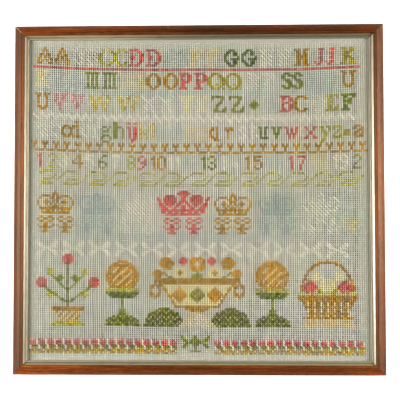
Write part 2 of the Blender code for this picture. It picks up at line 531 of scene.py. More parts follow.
@dataclass
class MitredFrame:
    """Four bars of one section round the frame, mitred at the corners, each with a slightly uneven surface.

    A field of four values has one for each side, in the order of Side: how deep its colour is, partly the material's
    own tone and partly painted shade and painted highlight for how the lamps fall on that side, and by how much its
    outer edges are lighter as a painted highlight. A painted sheen stretch is a side, its middle and reach along that
    side, and its gain: a lighter stretch of painted sheen where a lamp reflects. The ripple starts at ripple_from of
    the section's height and is full after a further ripple_over of it.
    """

    prefix: str
    replaced: str
    slot: str
    outline: Outline
    width: float
    height: float
    stations: int
    unevenness: float
    relief: float = 0.12 * MM
    seed: int = 5
    side_tone_and_painted_light: tuple[float, float, float, float] = (1.0, 1.0, 1.0, 1.0)
    painted_sheen_stretches: tuple[tuple[Side, float, float, float], ...] = ()
    painted_edge_highlights: tuple[float, float, float, float] = (0.0, 0.0, 0.0, 0.0)
    wavelengths: tuple[float, float, float] = (170 * MM, 61 * MM, 23 * MM)
    steepest_slant: float = 90.0
    ripple_from: float = 0.6
    ripple_over: float = 0.2
    edge_reach: float = 0.8 * MM
    groove_reach: float = 0.45 * MM
    mitre_reach: float = 0.7 * MM
    mitre_wear: float = 0.5
    grain_drift: float = 0.9
    crease_deg: float = 38.0

    def _ripple(self, along: np.ndarray, girth: np.ndarray, side: Side) -> np.ndarray:
        """Slow unevenness of a planed and rubbed face: the mean of a few long sine waves with seeded phases.

        Args:
            along: Places along the bar.
            girth: Places round its section.
            side: The bar's side, which seeds the waves.

        Returns:
            The unevenness, from -1 to 1.
        """
        random = np.random.default_rng(self.seed + side.value)
        total = np.zeros(np.broadcast(along, girth).shape)
        for wavelength in self.wavelengths:
            phase = random.uniform(0, 2 * math.pi, 2)[0]
            slant = random.uniform(-1, 1) * self.steepest_slant
            total += np.sin(2 * math.pi * along / wavelength + slant * girth + phase) / len(self.wavelengths)
        return total

    def _pushed(
        self, points: np.ndarray, along: np.ndarray, girth: np.ndarray, side: Side
    ) -> tuple[np.ndarray, np.ndarray]:
        """The section at each station, pushed out by the ripple along its own normal on the upper part of the bar.

        Args:
            points: The section's outline, as (across, up).
            along: Places along the bar.
            girth: Places round its section.
            side: The bar's side.

        Returns:
            The places across and up, stations by points.
        """
        tangent = np.roll(points, -1, axis=0) - np.roll(points, 1, axis=0)
        normal = np.stack([-tangent[:, 1], tangent[:, 0]], axis=1)
        normal /= np.linalg.norm(normal, axis=1)[:, None]
        top = points[:, 1].max()
        face = smooth_step((points[:, 1] - self.ripple_from * top) / (self.ripple_over * top))
        push = self.unevenness * self._ripple(along, girth[None, :], side) * face[None, :]
        return points[None, :, 0] + push * normal[None, :, 0], points[None, :, 1] + push * normal[None, :, 1]

    def _tone(self, along: np.ndarray, side: Side) -> np.ndarray:
        """Depth of colour along a bar: the side's tone, partly its own and partly painted shade, raised by a
        bell-shaped swell of painted sheen for each sheen stretch.

        Args:
            along: Places along the bar, counted anticlockwise round the frame.
            side: The bar's side.

        Returns:
            A multiplier of the colour at each place.
        """
        place = along if side in (Side.BOTTOM, Side.RIGHT) else -along
        tone = np.full(along.shape, self.side_tone_and_painted_light[side.value])
        # Each stretch adds painted sheen: a lighter stretch standing in for a lamp's reflection along the bar.
        for lighter_side, middle, reach, gain in self.painted_sheen_stretches:
            if lighter_side is side:
                tone += self.side_tone_and_painted_light[side.value] * gain * np.exp(-(((place - middle) / reach) ** 2))
        return tone

    def _marks(self, points: np.ndarray, along: np.ndarray, to_mitre: np.ndarray, side: Side) -> dict[str, np.ndarray]:
        """What the finish reads at each corner: wear on outer edges and mitres, dirt and painted shade in grooves, and
        depth of tone with painted shade, sheen and edge highlights.

        Args:
            points: The section's outline, as (across, up).
            along: Places along the bar, stations by points.
            to_mitre: Each station's length to the nearer mitre.
            side: The bar's side.

        Returns:
            The marks by name, one value to a corner.
        """
        mitre = np.exp(-to_mitre / self.mitre_reach)
        edge = outward_turn(points, self.edge_reach)[None, :]
        # Grooves are darker, partly as dirt and partly as painted shade.
        groove = np.clip(-2 * outward_turn(points, self.groove_reach)[None, :], 0, 1)
        # Painted highlight: a side's outer edges are made lighter, standing in for the light that they catch.
        rubbed = 1 + self.painted_edge_highlights[side.value] * np.clip(edge, 0, 1)
        return {
            "wear": np.clip(edge + self.mitre_wear * mitre, 0, 1).reshape(-1),
            "hollow": np.broadcast_to(groove, along.shape).reshape(-1),
            "tone": (self._tone(along, side) * rubbed).reshape(-1),
        }

    def bar(self, side: Side) -> Surface:
        """One bar: the section carried along the side, cut at 45 degrees by moving each end in by its own across.

        Args:
            side: The side that the bar lies on.

        Returns:
            The closed surface, with its grain map and its wear.
        """
        points = self.outline.points()
        length, breadth = (self.width, self.height) if side.level else (self.height, self.width)
        girth = np.concatenate([[0], np.cumsum(np.linalg.norm(np.diff(points, axis=0), axis=1))])
        closing = float(np.linalg.norm(points[0] - points[-1]))
        share = np.linspace(0, 1, self.stations)[:, None]
        along = (points[None, :, 0] + self.relief - length / 2) * (1 - 2 * share)
        across, up = self._pushed(points, along, girth, side)
        quarter = side.value * math.pi / 2
        cosine, sine = round(math.cos(quarter)), round(math.sin(quarter))
        inward = across - breadth / 2
        x = along * cosine - inward * sine
        y = along * sine + inward * cosine
        corners = np.stack([x, y, up], axis=-1).reshape(-1, 3)
        count = len(points)
        walls = lattice(self.stations, count, closed=True)
        caps = [np.arange(count)[None, ::-1], (np.arange(count) + count * (self.stations - 1))[None, :]]
        around = np.append(girth, girth[-1] + closing)
        station, column = np.meshgrid(np.arange(self.stations - 1), np.arange(count), indexing="ij")
        drift = side.value * self.grain_drift
        maps = []
        for add_station, add_column in ((0, 0), (1, 0), (1, 1), (0, 1)):
            u = along[station + add_station, (column + add_column) % count] + drift
            maps.append(np.stack([u, around[column + add_column]], axis=-1))
        grain = [np.stack(maps, axis=2).reshape(-1, 4, 2)]
        grain += [np.stack([along.reshape(-1)[cap] + drift, across.reshape(-1)[cap]], axis=-1) for cap in caps]
        marks = self._marks(points, along, (1 - np.abs(2 * share - 1)) * length / 2, side)
        return Surface(corners, [walls, *caps], {"grain": grain}, marks).turned_out()

    def build(self, material: bpy.types.Material) -> None:
        """Makes the four bars, each in place of its plain solid.

        Args:
            material: The finish of all four.
        """
        for side in Side:
            name = side.name.lower()
            made = self.bar(side).piece(f"{self.prefix}_{name}", material, self.slot, self.crease_deg)
            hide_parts(f"{self.replaced}_{name}")


@dataclass(frozen=True)
class MahoganyFinish:
    """Old polished mahogany: lengthwise grain, short dark pores, slightly rubbed edges and a soft wax shine."""

    dark: Colour = linear(92, 36, 4)
    middle: Colour = linear(134, 56, 6)
    light: Colour = linear(196, 108, 34)
    rubbed: Colour = linear(196, 128, 62)
    groove_dirt_and_shade: Colour = linear(38, 18, 8)
    wax_tint: Colour = (1.0, 0.84, 0.58)
    broad_figure: Scales = (9.0, 190.0, 1.0)
    fine_figure: Scales = (26.0, 1100.0, 1.0)
    pore_size: Scales = (150.0, 1500.0, 1.0)
    cloud_size: Scales = (11.0, 40.0, 1.0)
    rub_size: Scales = (90.0, 400.0, 1.0)

    def material(self) -> bpy.types.Material:
        """Builds the material on the grain map, whose first axis runs along the bar, in metres.

        Returns:
            The finished material.
        """
        graph = Graph("mahogany")
        grain = graph.map("grain")
        broad = graph.noise(grain, self.broad_figure)
        fine = graph.noise(grain, self.fine_figure, 4.0, 0.7)
        pores = graph.noise(grain, self.pore_size, 3.0, 0.6)
        cloud = graph.noise(grain, self.cloud_size, 2.0)
        pore = pores.band(0.52, 0.70)
        fleck = pores.band(0.48, 0.30)
        base = graph.mixed(broad.band(0.38, 0.62), self.dark, self.middle)
        streaked = graph.mixed(fine.band(0.46, 0.74) * 0.8, base, self.light)
        clouded = graph.multiplied(streaked, graph.grey(0.72 + cloud.band(0.30, 0.70) * 0.56))
        flecked = graph.mixed(fleck * 0.45, clouded, self.light)
        pored = graph.mixed(pore * 0.65, flecked, self.dark)
        wear = graph.mark("wear") * graph.noise(grain, self.rub_size).band(0.35, 0.75)
        rubbed = graph.mixed(wear * 0.25, pored, self.rubbed)
        # The tone mark darkens and lightens each side as painted shade and painted sheen, and the hollow mark darkens
        # grooves, partly as dirt and partly as painted shade.
        toned = graph.multiplied(rubbed, graph.grey(graph.mark("tone")))
        colour = graph.mixed(graph.mark("hollow") * 0.8, toned, self.groove_dirt_and_shade)
        graph.raised(fine * 0.6 + broad * 0.5 - pore * 0.7, 0.05 * MM, 0.6)
        return graph.finish(
            {
                "Base Color": colour,
                "Roughness": 0.40 + fine * 0.12 + wear * 0.15,
                "Specular IOR Level": 0.40,
                "Specular Tint": self.wax_tint,
            }
        )


@dataclass(frozen=True)
class GiltFinish:
    """Worn pale gilt under old varnish: lengthwise burnish lines, dull patches and ochre ground at its edges."""

    leaf: Colour = linear(189, 178, 143)
    tarnish: Colour = linear(140, 124, 80)
    ground: Colour = linear(122, 98, 56)
    groove_dirt_and_shade: Colour = linear(66, 56, 34)
    patch_size: Scales = (60.0, 420.0, 1.0)
    burnish_size: Scales = (14.0, 3000.0, 1.0)
    speck_size: Scales = (900.0, 1400.0, 1.0)

    def material(self) -> bpy.types.Material:
        """Builds the material on the grain map, whose first axis runs along the slip, in metres.

        Returns:
            The finished material.
        """
        graph = Graph("worn_gilt")
        grain = graph.map("grain")
        patches = graph.noise(grain, self.patch_size, 4.0, 0.6)
        lines = graph.noise(grain, self.burnish_size, 3.0, 0.6)
        specks = graph.noise(grain, self.speck_size, 2.0, 0.5)
        dull = patches.band(0.45, 0.72)
        worn = graph.mark("wear") * specks.band(0.42, 0.62)
        bare = worn * 0.5 + specks.band(0.70, 0.78) * 0.5
        metal = graph.mixed(dull * 0.7 + lines.band(0.45, 0.75) * 0.3, self.leaf, self.tarnish)
        graph.raised(lines * 0.7 + specks * 0.5, 0.03 * MM, 0.5)
        hollow = graph.mark("hollow")
        # The tone mark brightens the left and right slips as a painted highlight and darkens the top one as painted
        # shade; the hollow mark darkens grooves, partly as dirt and partly as painted shade.
        gilded = graph.multiplied(graph.mixed(bare, metal, self.ground), graph.grey(graph.mark("tone")))
        return graph.finish(
            {
                "Base Color": graph.mixed(hollow * 0.7, gilded, self.groove_dirt_and_shade),
                "Metallic": 0.35 - bare * 0.25 - hollow * 0.1,
                "Roughness": 0.36 + dull * 0.16 + bare * 0.2,
                "Coat Weight": 1.0 - bare * 0.6 - hollow * 0.5,
                "Coat Roughness": 0.28,
                "Coat IOR": 2.15,
            }
        )


class Thread(Enum):
    """A silk of the sampler, by its display colour where it shows."""

    GOLD = (198, 150, 26)
    AMBER = (222, 164, 30)
    ROSE = (226, 108, 96)
    BLUSH = (236, 168, 160)
    YELLOW = (206, 196, 80)
    LEAF = (148, 156, 46)
    MOSS = (126, 138, 2)
    PINE = (92, 110, 2)
    TEAL = (146, 168, 165)
    STRAW = (226, 208, 118)
    BRASS = (188, 174, 50)
    OCHRE = (188, 144, 4)
    SKY = (184, 197, 187)
    IVORY = (226, 221, 202)
    CREAM = (232, 220, 160)
    TAN = (222, 202, 148)

    @property
    def number(self) -> int:
        """The thread's number in a chart, from 1."""
        return list(Thread).index(self) + 1

    @property
    def half_stitched(self) -> bool:
        """Whether it is worked in single slanting stitches."""
        return self is Thread.IVORY

    @property
    def faint(self) -> bool:
        """Whether the silk has faded nearly to the linen's own colour."""
        return self in (Thread.SKY, Thread.TEAL, Thread.IVORY, Thread.CREAM, Thread.TAN)

    @property
    def end_shade(self) -> float:
        """How dark the silk looks where it dives into the holes at a stitch's corners."""
        return 0.80 if self.faint else 0.34


CAPITALS = {
    "A": "...#.../..###../..#.#../.##.##./.#.#.#./##.#.##/#.#.#.#/##...##",
    "B": "#####./.##.##/.#..##/.####./.#..##/.#..##/.##.##/#####.",
    "C": "..####./.##..##/##...../##...../##...../##...../.##..##/..####.",
    "D": "#####../.#..##./.#...##/.##..##/.##..##/.#...##/.#..##./#####..",
    "E": "######/.##..#/.#.#../.###../.#.#../.##..#/.##.##/######",
    "F": "#######/.##..##/.#.##../.####../.#.##../.##..../.##..../####...",
    "G": "..###../.##.##./##..##./#.....#/#..####/##..##./.##.##./..###..",
    "H": "###.###/.##.##./.##.##./.#####./.#####./.##.##./.##.##./###.###",
    "J": "..###/...#./..##./...#./..##./...#./#.##./.##..",
    "K": "###.###/.##.##./.####../.###.../.####../.##.##./.##.##./###.###",
    "L": "####../.##.../.##.../.##.../.##.../.##..#/.##.##/######",
    "M": "#######/.#.#.#./.#.#.#./.#.#.#./.#.#.#./.#.#.#./.#.#.#./#######",
    "N": "##..##/.##.#./.##.#./.#.##./.#.##./.#..#./.#..#./###.##",
    "O": "..###../.##.##./##...##/##...##/##...##/##...##/.##.##./..###..",
    "P": "#####./.##.##/.#..##/.##.##/.####./.##.../.##.../####..",
    "Q": "..####../.##..##./##....##/##....##/##....##/##..#.##/.##..##./..####.#",
    "R": "#####./.##.##/.#..##/.####./.###../.##.#./.#..##/###.##",
    "S": ".###./##.##/##.../.###./..###/...##/##.##/.###.",
    "T": "#######/#.#.#.#/..###../..#.#../..###../..#.#../..###../.#####.",
    "U": "###.###/.##.##./.#...#./.#...#./.#...#./.#...#./.##.##./..###..",
    "V": "###.###/.##.##./.##.##./.#.#.#./..###../..###../...#.../...#...",
    "W": "##..##..##/##..##..##/.##.##.##./.##.##.##./.###..###./..##..##../..##..##../..#....#..",
    "X": "##...##/.##.##./.##.##./..###../..###../.##.##./.##.##./##...##",
    "Y": "###.###/.##.##./.#.#.#./..###../...#.../..###../..###../.#####.",
    "Z": "######./#...##./....#../...##../..##.../..#...#/.##..##/.######",
}
CAPITALS["I"] = CAPITALS["H"]  # The capital I is worked with a bar, like the H.

SMALL = {
    "a": ".###./##.##/..###/.##.#/##.##/.####",
    "b": "##.../##.../####./##.##/#...#/#...#/##.##/####.",
    "c": ".###/##.#/#.../#.../##.#/.###",
    "d": "..##./...#./.###./##.#./#..#./#..#./##.#./.####",
    "e": ".###./#...#/#####/#..../##.##/.###.",
    "f": "..##/.#../####/.#../.#../.#../.#../###.",
    "g": ".##.#/#..#./.###./#..../.###./##..#/#...#/.###.",
    "h": "##.../##.../####./##..#/##..#/##..#/##..#/##..#",
    "i": "##/../##/.#/.#/.#/.#/.#",
    "j": ".##/.../.##/.##/.##/.##/.##/.##/##./#..",
    "k": "#.../#.../#..#/#.#./##../###./#.##/#..#",
    "l": "##/##/##/##/##/##/##/##",
    "m": "######./##.#.##/#..#..#/#..#..#/#..#..#/#..#..#",
    "n": "####./##.##/#...#/#...#/#...#/#...#",
    "o": ".###./##.##/#...#/#...#/##.##/.###.",
    "p": "####./##.##/#...#/#...#/##.##/####./##.../##...",
    "q": ".###./##.#./#..#./#..#./##.#./.###./..###",
    "r": "#.##/####/.#../.#../.#../.#..",
    "s": ".###/##.#/.#../..#./#.##/###.",
    "t": ".#../.#../####/.#../.#../.#../.#.#/.##.",
    "u": "##.##/.#.#./.#.#./.#.#./.#.#./.####",
    "v": "##.##/.#.#./.#.#./.###./..#../..#..",
    "w": "##.#.##/.#.#.#./.#.#.#./.#####./..#.#../..#.#..",
    "x": "##..##/.#..#./..##../..##../.#..#./##..##",
    "y": "##.##/.#..#/.##.#/..##./..##./..#../.##../##...",
    "z": "####/#..#/..#./.#../#..#/####",
}

FIGURES = {
    "0": ".##./#..#/#..#/#..#/#..#/#..#/.##.",
    "1": ".#/##/.#/.#/.#/.#/.#",
    "2": ".##./#..#/...#/..#./.#../#.../####",
    "3": ".##./#..#/...#/.##./...#/#..#/.##.",
    "4": "...#./..##./.#.#./#..#./#####/...#./...#.",
    "5": "####/#.../###./...#/...#/#..#/.##.",
    "6": "..##/.#../#.../###./#..#/#..#/.##.",
    "7": "####/...#/..#./..#./.#../.#../.#..",
    "8": ".##./#..#/#..#/.##./#..#/#..#/.##.",
    "9": ".##./#..#/#..#/.###/...#/..#./##..",
}

GLYPHS = {**CAPITALS, **SMALL, **FIGURES, "*": "..#../.###./#####/.###./..#..", "+": "###/###/###"}
ROWS_DOWN = {**dict.fromkeys("acegmnopqrsuvwxyz*", 2), "+": 4}
WIDEST_FULL = 4


@dataclass
class Chart:
    """The stitching chart: one cell to a stitch, counted down and right from the top left, 0 where none is worked."""

    rows: int
    columns: int
    cells: np.ndarray = field(init=False)
    down: np.ndarray = field(init=False)
    right: np.ndarray = field(init=False)

    def __post_init__(self) -> None:
        """Lays out the empty cells and the two grids of cell numbers."""
        self.cells = np.zeros((self.rows, self.columns), dtype=np.int8)
        self.down, self.right = np.meshgrid(np.arange(self.rows), np.arange(self.columns), indexing="ij")

    def fill(self, mask: np.ndarray, thread: Thread, every: int = 1) -> None:
        """Works a mask in one thread.

        Args:
            mask: The cells to work.
            thread: The silk.
            every: 1 for all of them, or n for each nth slanting line of cells.
        """
        self.cells[mask & ((self.down + self.right) % every == 0)] = thread.number

    def stamp(
        self, pattern: str, row: int, column: int, threads: Thread | dict[str, Thread], hatched: bool = False
    ) -> None:
        """Works a pattern whose rows are parted by slashes, and leaves out what runs past the chart's edge.

        Args:
            pattern: A dot for a bare cell, and any other mark for a stitch.
            row: The pattern's top row.
            column: The pattern's left column.
            threads: One silk for all marks, or a silk for each mark.
            hatched: Whether only every second slanting line of its cells is worked.
        """
        marks = np.array([list(line) for line in pattern.split("/")])
        rows, columns = np.nonzero(marks != ".")
        inside = (rows + row < self.rows) & (columns + column < self.columns)
        rows, columns = rows[inside], columns[inside]
        if isinstance(threads, Thread):
            numbers = np.full(len(rows), threads.number)
        else:
            numbers = np.array([threads[mark].number for mark in marks[rows, columns]])
        worked = (columns + column - rows - row) % 2 == 0 if hatched else np.ones(len(rows), dtype=bool)
        self.cells[rows[worked] + row, columns[worked] + column] = numbers[worked]

    def line(self, row: int, runs: list[tuple[str, Thread, int, int]]) -> None:
        """Works a line of letters or figures, spread evenly over each run's columns.

        A half-stitched silk hatches the glyphs that are wider than WIDEST_FULL, and works the others in full.

        Args:
            row: The line's top row.
            runs: Runs of letters, each with its silk, its first column and the column after it.
        """
        for letters, thread, start, stop in runs:
            widths = [GLYPHS[letter].index("/") for letter in letters]
            space = (stop - start - sum(widths)) / max(len(letters) - 1, 1)
            column = float(start)
            for letter, wide in zip(letters, widths):
                hatched = thread.half_stitched and wide > WIDEST_FULL
                self.stamp(GLYPHS[letter], row + ROWS_DOWN.get(letter, 0), round(column), thread, hatched)
                column += wide + space

    def disc(self, row: float, column: float, high: float, wide: float | None = None) -> np.ndarray:
        """Cells within an ellipse of half height high and half width wide."""
        wide = high if wide is None else wide
        return ((self.down - row) / high) ** 2 + ((self.right - column) / wide) ** 2 <= 1

    def lozenge(self, row: float, column: float, high: float, wide: float | None = None) -> np.ndarray:
        """Cells within a diamond of half height high and half width wide."""
        wide = high if wide is None else wide
        return np.abs(self.down - row) / high + np.abs(self.right - column) / wide <= 1

    def taper(self, top: int, bottom: int, column: float, half_top: float, half_bottom: float) -> np.ndarray:
        """Cells of an upright taper, whose half width goes evenly from top to bottom.

        Args:
            top: Its first row.
            bottom: Its last row.
            column: Its middle column.
            half_top: Its half width at the top.
            half_bottom: Its half width at the bottom.

        Returns:
            The mask of its cells.
        """
        share = (self.down - top) / max(bottom - top, 1)
        half = half_top + (half_bottom - half_top) * share
        return (self.down >= top) & (self.down <= bottom) & (np.abs(self.right - column) <= half)

    def zigzag(self, pitch: int) -> np.ndarray:
        """Cells of every pitch-th line of small chevrons."""
        return (self.down + np.abs(self.right % 4 - 2)) % pitch == 0

    def slant(self, row: int, column: int, length: int, lean: float, thick: float) -> np.ndarray:
        """Cells of a line that climbs from (row, column) by length rows and leans by lean columns a row.

        Args:
            row: The row of its foot.
            column: The column of its foot.
            length: How many rows it climbs.
            lean: Columns to the right for each row climbed.
            thick: Its half width, in columns.

        Returns:
            The mask of its cells.
        """
        climbed = row - self.down
        off = np.abs(self.right - column - lean * climbed)
        return (climbed >= 0) & (climbed <= length) & (off <= thick)


@dataclass
class SamplerDesign:
    """What is worked on the cloth: alphabets, bands, crowns, a row of pots and trees, and a border.

    Rows are counted down from the chart's top, and each ROW value is the top row of what it names. GRASS_ROW is the
    first row below the mounds.
    """

    rows: int = 152
    columns: int = 154
    left: int = 3
    right: int = 149

    ROSE_ROW, SKY_ROW, BRANCHED_ROW, SCROLL_ROW, LEAFLET_ROW = 12, 23, 48, 62, 96
    CROWN_ROW, CORONET_ROW, SPRIG_ROW = 72, 71, 84
    GRASS_ROW = 136
    FOOTING_ROW = 141
    BRANCHED_STEP, WAVE_STEP, LEAFLET_STEP, FOOTING_STEP = 5, 4, 12, 4
    SCROLL_STEP = 11.45
    MIDDLE_GAP = slice(67, 84)

    CROWN = (
        "........#......../.......###......./..####.#.#.####../.#....##.##....#./#...#..###..#...#/"
        "#..###.#.#.###..#/#...#.#.#.#.#...#/.#...#.###.#...#./.###############./..#.##.#.#.##.#../"
        "..#############.."
    )
    CORONET = (
        "..........####........../.........######........./....####..####..####..../"
        "#..######..##..######..#/##.######..##..######.##/.#.######.####.######.#./"
        ".##.####.##..##.####.##./.###.##.##.##.##.##.###./..###..##..##..##..###../"
        "..####################../..##.##.##.##.##.##.##../....################...."
    )
    SPRIG = ".##..##./#..##..#/.##..##./...##.../#..##..#/.######./...##.../..####.."
    BRANCHED = "#.#../###../.#.../.#.../#.###"
    WAVE = "#.../##.#/.###/..#."
    SCROLL = "..#####...../.#.....#..../........#..#/.......#..#./...####..#../..#.....#.../.#######...."
    LEAFLET = "##......##../###....###../.###..###.../...####...../.###..###.../###....###../##......##.."
    TULIP = (
        "#.....#.....#/##...###...##/.##.#####.##./..#########../.##..###..##./##....#....##/"
        "......#....../....#####...."
    )
    FOOTING = "..../BBBW/RRRW/RRRW/WMLM/WYGY/GGYG/GYG."

    def worked(self) -> Chart:
        """Works the whole chart, from the top down.

        Returns:
            The chart.
        """
        chart = Chart(self.rows, self.columns)
        self._letters(chart)
        self._bands(chart)
        self._crowns(chart)
        self._pot_plant(chart, 17)
        self._round_tree(chart, 42)
        self._urn(chart, 76)
        self._round_tree(chart, 110)
        self._basket(chart, 135)
        self._footing(chart)
        return chart

    def _letters(self, chart: Chart) -> None:
        """Three lines of capitals, one of small letters and one of figures.

        Args:
            chart: The chart that it is worked on.
        """
        t = Thread
        chart.line(3, [
            ("AA", t.GOLD, 3, 18), ("BB", t.IVORY, 19, 31), ("CC", t.YELLOW, 31, 45), ("DD", t.ROSE, 45, 60),
            ("EE", t.SKY, 61, 73), ("FF", t.TAN, 73, 87), ("GG", t.PINE, 89, 104), ("HH", t.IVORY, 105, 120),
            ("I", t.OCHRE, 121, 128), ("JJ", t.ROSE, 130, 140), ("K", t.BRASS, 142, 149),
        ])
        chart.line(14, [
            ("K", t.CREAM, 2, 9), ("LL", t.SKY, 10, 24), ("MM", t.LEAF, 25, 40), ("NN", t.TAN, 41, 53),
            ("OO", t.GOLD, 53, 68), ("PP", t.ROSE, 68, 81), ("QQ", t.BRASS, 81, 97), ("RR", t.IVORY, 99, 112),
            ("SS", t.MOSS, 115, 125), ("TT", t.SKY, 126, 140), ("U", t.OCHRE, 142, 149),
        ])
        chart.line(25, [
            ("U", t.GOLD, 2, 9), ("VV", t.BLUSH, 10, 25), ("WW", t.STRAW, 27, 50), ("XX", t.IVORY, 51, 66),
            ("YY", t.CREAM, 68, 82), ("ZZ", t.LEAF, 83, 98), ("*", t.LEAF, 100, 105), ("A", t.SKY, 107, 114),
            ("B", t.ROSE, 114, 120), ("C", t.OCHRE, 120, 127), ("D", t.IVORY, 128, 135), ("E", t.BRASS, 135, 141),
            ("F", t.MOSS, 142, 149),
        ])
        chart.line(38, [
            ("ab", t.IVORY, 3, 14), ("cd", t.GOLD, 14, 23), ("ef", t.IVORY, 23, 32), ("gh", t.LEAF, 32, 43),
            ("ij", t.ROSE, 44, 49), ("kl", t.STRAW, 50, 57), ("mn", t.SKY, 58, 70), ("op", t.TAN, 71, 82),
            ("qr", t.GOLD, 82, 93), ("st", t.IVORY, 95, 104), ("uv", t.MOSS, 104, 115), ("wx", t.ROSE, 116, 131),
            ("yz", t.BRASS, 132, 142), ("+", t.BRASS, 143, 146), ("a", t.OCHRE, 147, 152),
        ])
        chart.line(54, [
            ("1", t.ROSE, 3, 5), ("2", t.YELLOW, 8, 12), ("3", t.IVORY, 13, 17), ("4", t.GOLD, 19, 24),
            ("5", t.IVORY, 25, 29), ("6", t.LEAF, 31, 35), ("7", t.IVORY, 37, 41), ("8", t.YELLOW, 44, 48),
            ("9", t.ROSE, 49, 53), ("10", t.GOLD, 55, 62), ("11", t.IVORY, 63, 68), ("12", t.SKY, 69, 77),
            ("13", t.LEAF, 78, 85), ("14", t.IVORY, 87, 95), ("15", t.GOLD, 98, 106), ("16", t.SKY, 108, 116),
            ("17", t.ROSE, 118, 126), ("18", t.TAN, 128, 136), ("19", t.IVORY, 138, 145), ("2", t.LEAF, 147, 151),
        ])

    def _bands(self, chart: Chart) -> None:
        """A rose line, a branched band, a scroll band, crossed leaves, a faint line and two faint waved lines.

        Args:
            chart: The chart that it is worked on.
        """
        chart.cells[self.ROSE_ROW, 1:self.right + 2] = Thread.ROSE.number
        for column in range(0, self.right + 2, self.BRANCHED_STEP):
            chart.stamp(self.BRANCHED, self.BRANCHED_ROW, column, Thread.GOLD)
        for column in np.arange(self.left, self.right - 4, self.SCROLL_STEP):
            chart.stamp(self.SCROLL, self.SCROLL_ROW, round(column), Thread.YELLOW)
        for column in range(1, self.right, self.WAVE_STEP):
            chart.stamp(self.WAVE, 34, column, Thread.IVORY)
            chart.stamp(self.WAVE, 91, column, Thread.SKY, hatched=True)
        chart.cells[self.SKY_ROW, 1:self.right] = Thread.SKY.number
        for column in range(self.left, self.right - self.LEAFLET_STEP, self.LEAFLET_STEP):
            chart.stamp(self.LEAFLET, self.LEAFLET_ROW, column, Thread.IVORY)

    def _crowns(self, chart: Chart) -> None:
        """A line of crowns over pairs of sprigs, and one sprig more at its end.

        Args:
            chart: The chart that it is worked on.
        """
        t = Thread
        sprigs = [(61, t.ROSE), (71, t.ROSE), (142, t.TAN)]
        for column, thread in ((3, t.GOLD), (22, t.TEAL), (40, t.IVORY), (84, t.GOLD), (104, t.TEAL), (124, t.IVORY)):
            chart.stamp(self.CROWN, self.CROWN_ROW, column, thread, thread.half_stitched)
            sprigs += [(column, thread), (column + 9, thread)]
        chart.stamp(self.CORONET, self.CORONET_ROW, 58, t.ROSE)
        for column, thread in sprigs:
            chart.stamp(self.SPRIG, self.SPRIG_ROW, column, thread, thread.half_stitched)

    def _mound(self, chart: Chart, column: int, high: float, wide: float) -> None:
        """The upper half of an ellipse on the grass line, in dark green with brassy chevrons.

        Args:
            chart: The chart that it is worked on.
            column: The mound's middle column.
            high: Its height, in rows.
            wide: Its half width, in columns.
        """
        mound = chart.disc(self.GRASS_ROW, column, high, wide) & (chart.down < self.GRASS_ROW)
        chart.fill(mound, Thread.PINE)
        chart.fill(mound & chart.zigzag(3), Thread.BRASS)

    def _pot_plant(self, chart: Chart, column: int) -> None:
        """A flowering plant in a pot, on even branches.

        Args:
            chart: The chart that it is worked on.
            column: Its middle column.
        """
        t = Thread
        chart.fill(chart.taper(105, 127, column, 0.4, 0.4), t.LEAF)
        for side in (-1, 1):
            chart.fill(chart.slant(125, column, 8, side * 1.35, 0.9), t.LEAF)
            chart.fill(chart.slant(119, column, 7, side * 1.0, 0.6), t.LEAF)
            chart.fill(chart.disc(115, column + side * 12, 2.6), t.ROSE)
            chart.fill(chart.disc(110, column + side * 8, 1.8), t.YELLOW)
            chart.fill(chart.lozenge(121, column + side * 8, 1.6, 2.6), t.YELLOW)
            chart.fill(chart.lozenge(113, column + side * 3.5, 1.6), t.LEAF)
        chart.fill(chart.disc(104, column, 2.8), t.ROSE)
        chart.fill(chart.taper(127, 128, column, 7, 7), t.GOLD)
        pot = chart.taper(129, 133, column, 6, 4)
        chart.fill(pot, t.TAN)
        chart.fill(pot, t.GOLD, every=3)
        chart.fill(chart.taper(134, 135, column, 6, 7), t.YELLOW)

    def _round_tree(self, chart: Chart, column: int) -> None:
        """A tree with a round crown over a leafy skirt, on a mound.

        Args:
            chart: The chart that it is worked on.
            column: Its middle column.
        """
        t = Thread
        chart.fill(chart.disc(112, column, 7.4), t.AMBER)
        chart.fill(chart.disc(112, column, 5.0), t.CREAM, every=4)
        chart.fill(chart.disc(118.5, column, 2.6, 7.4) & (chart.down > 117), t.YELLOW)
        skirt = chart.taper(120, 122, column, 7, 5)
        chart.fill(skirt, t.PINE)
        chart.fill(skirt, t.LEAF, every=3)
        chart.fill(chart.taper(123, 129, column, 0.5, 1.2), t.LEAF)
        self._mound(chart, column, 6.2, 8.4)

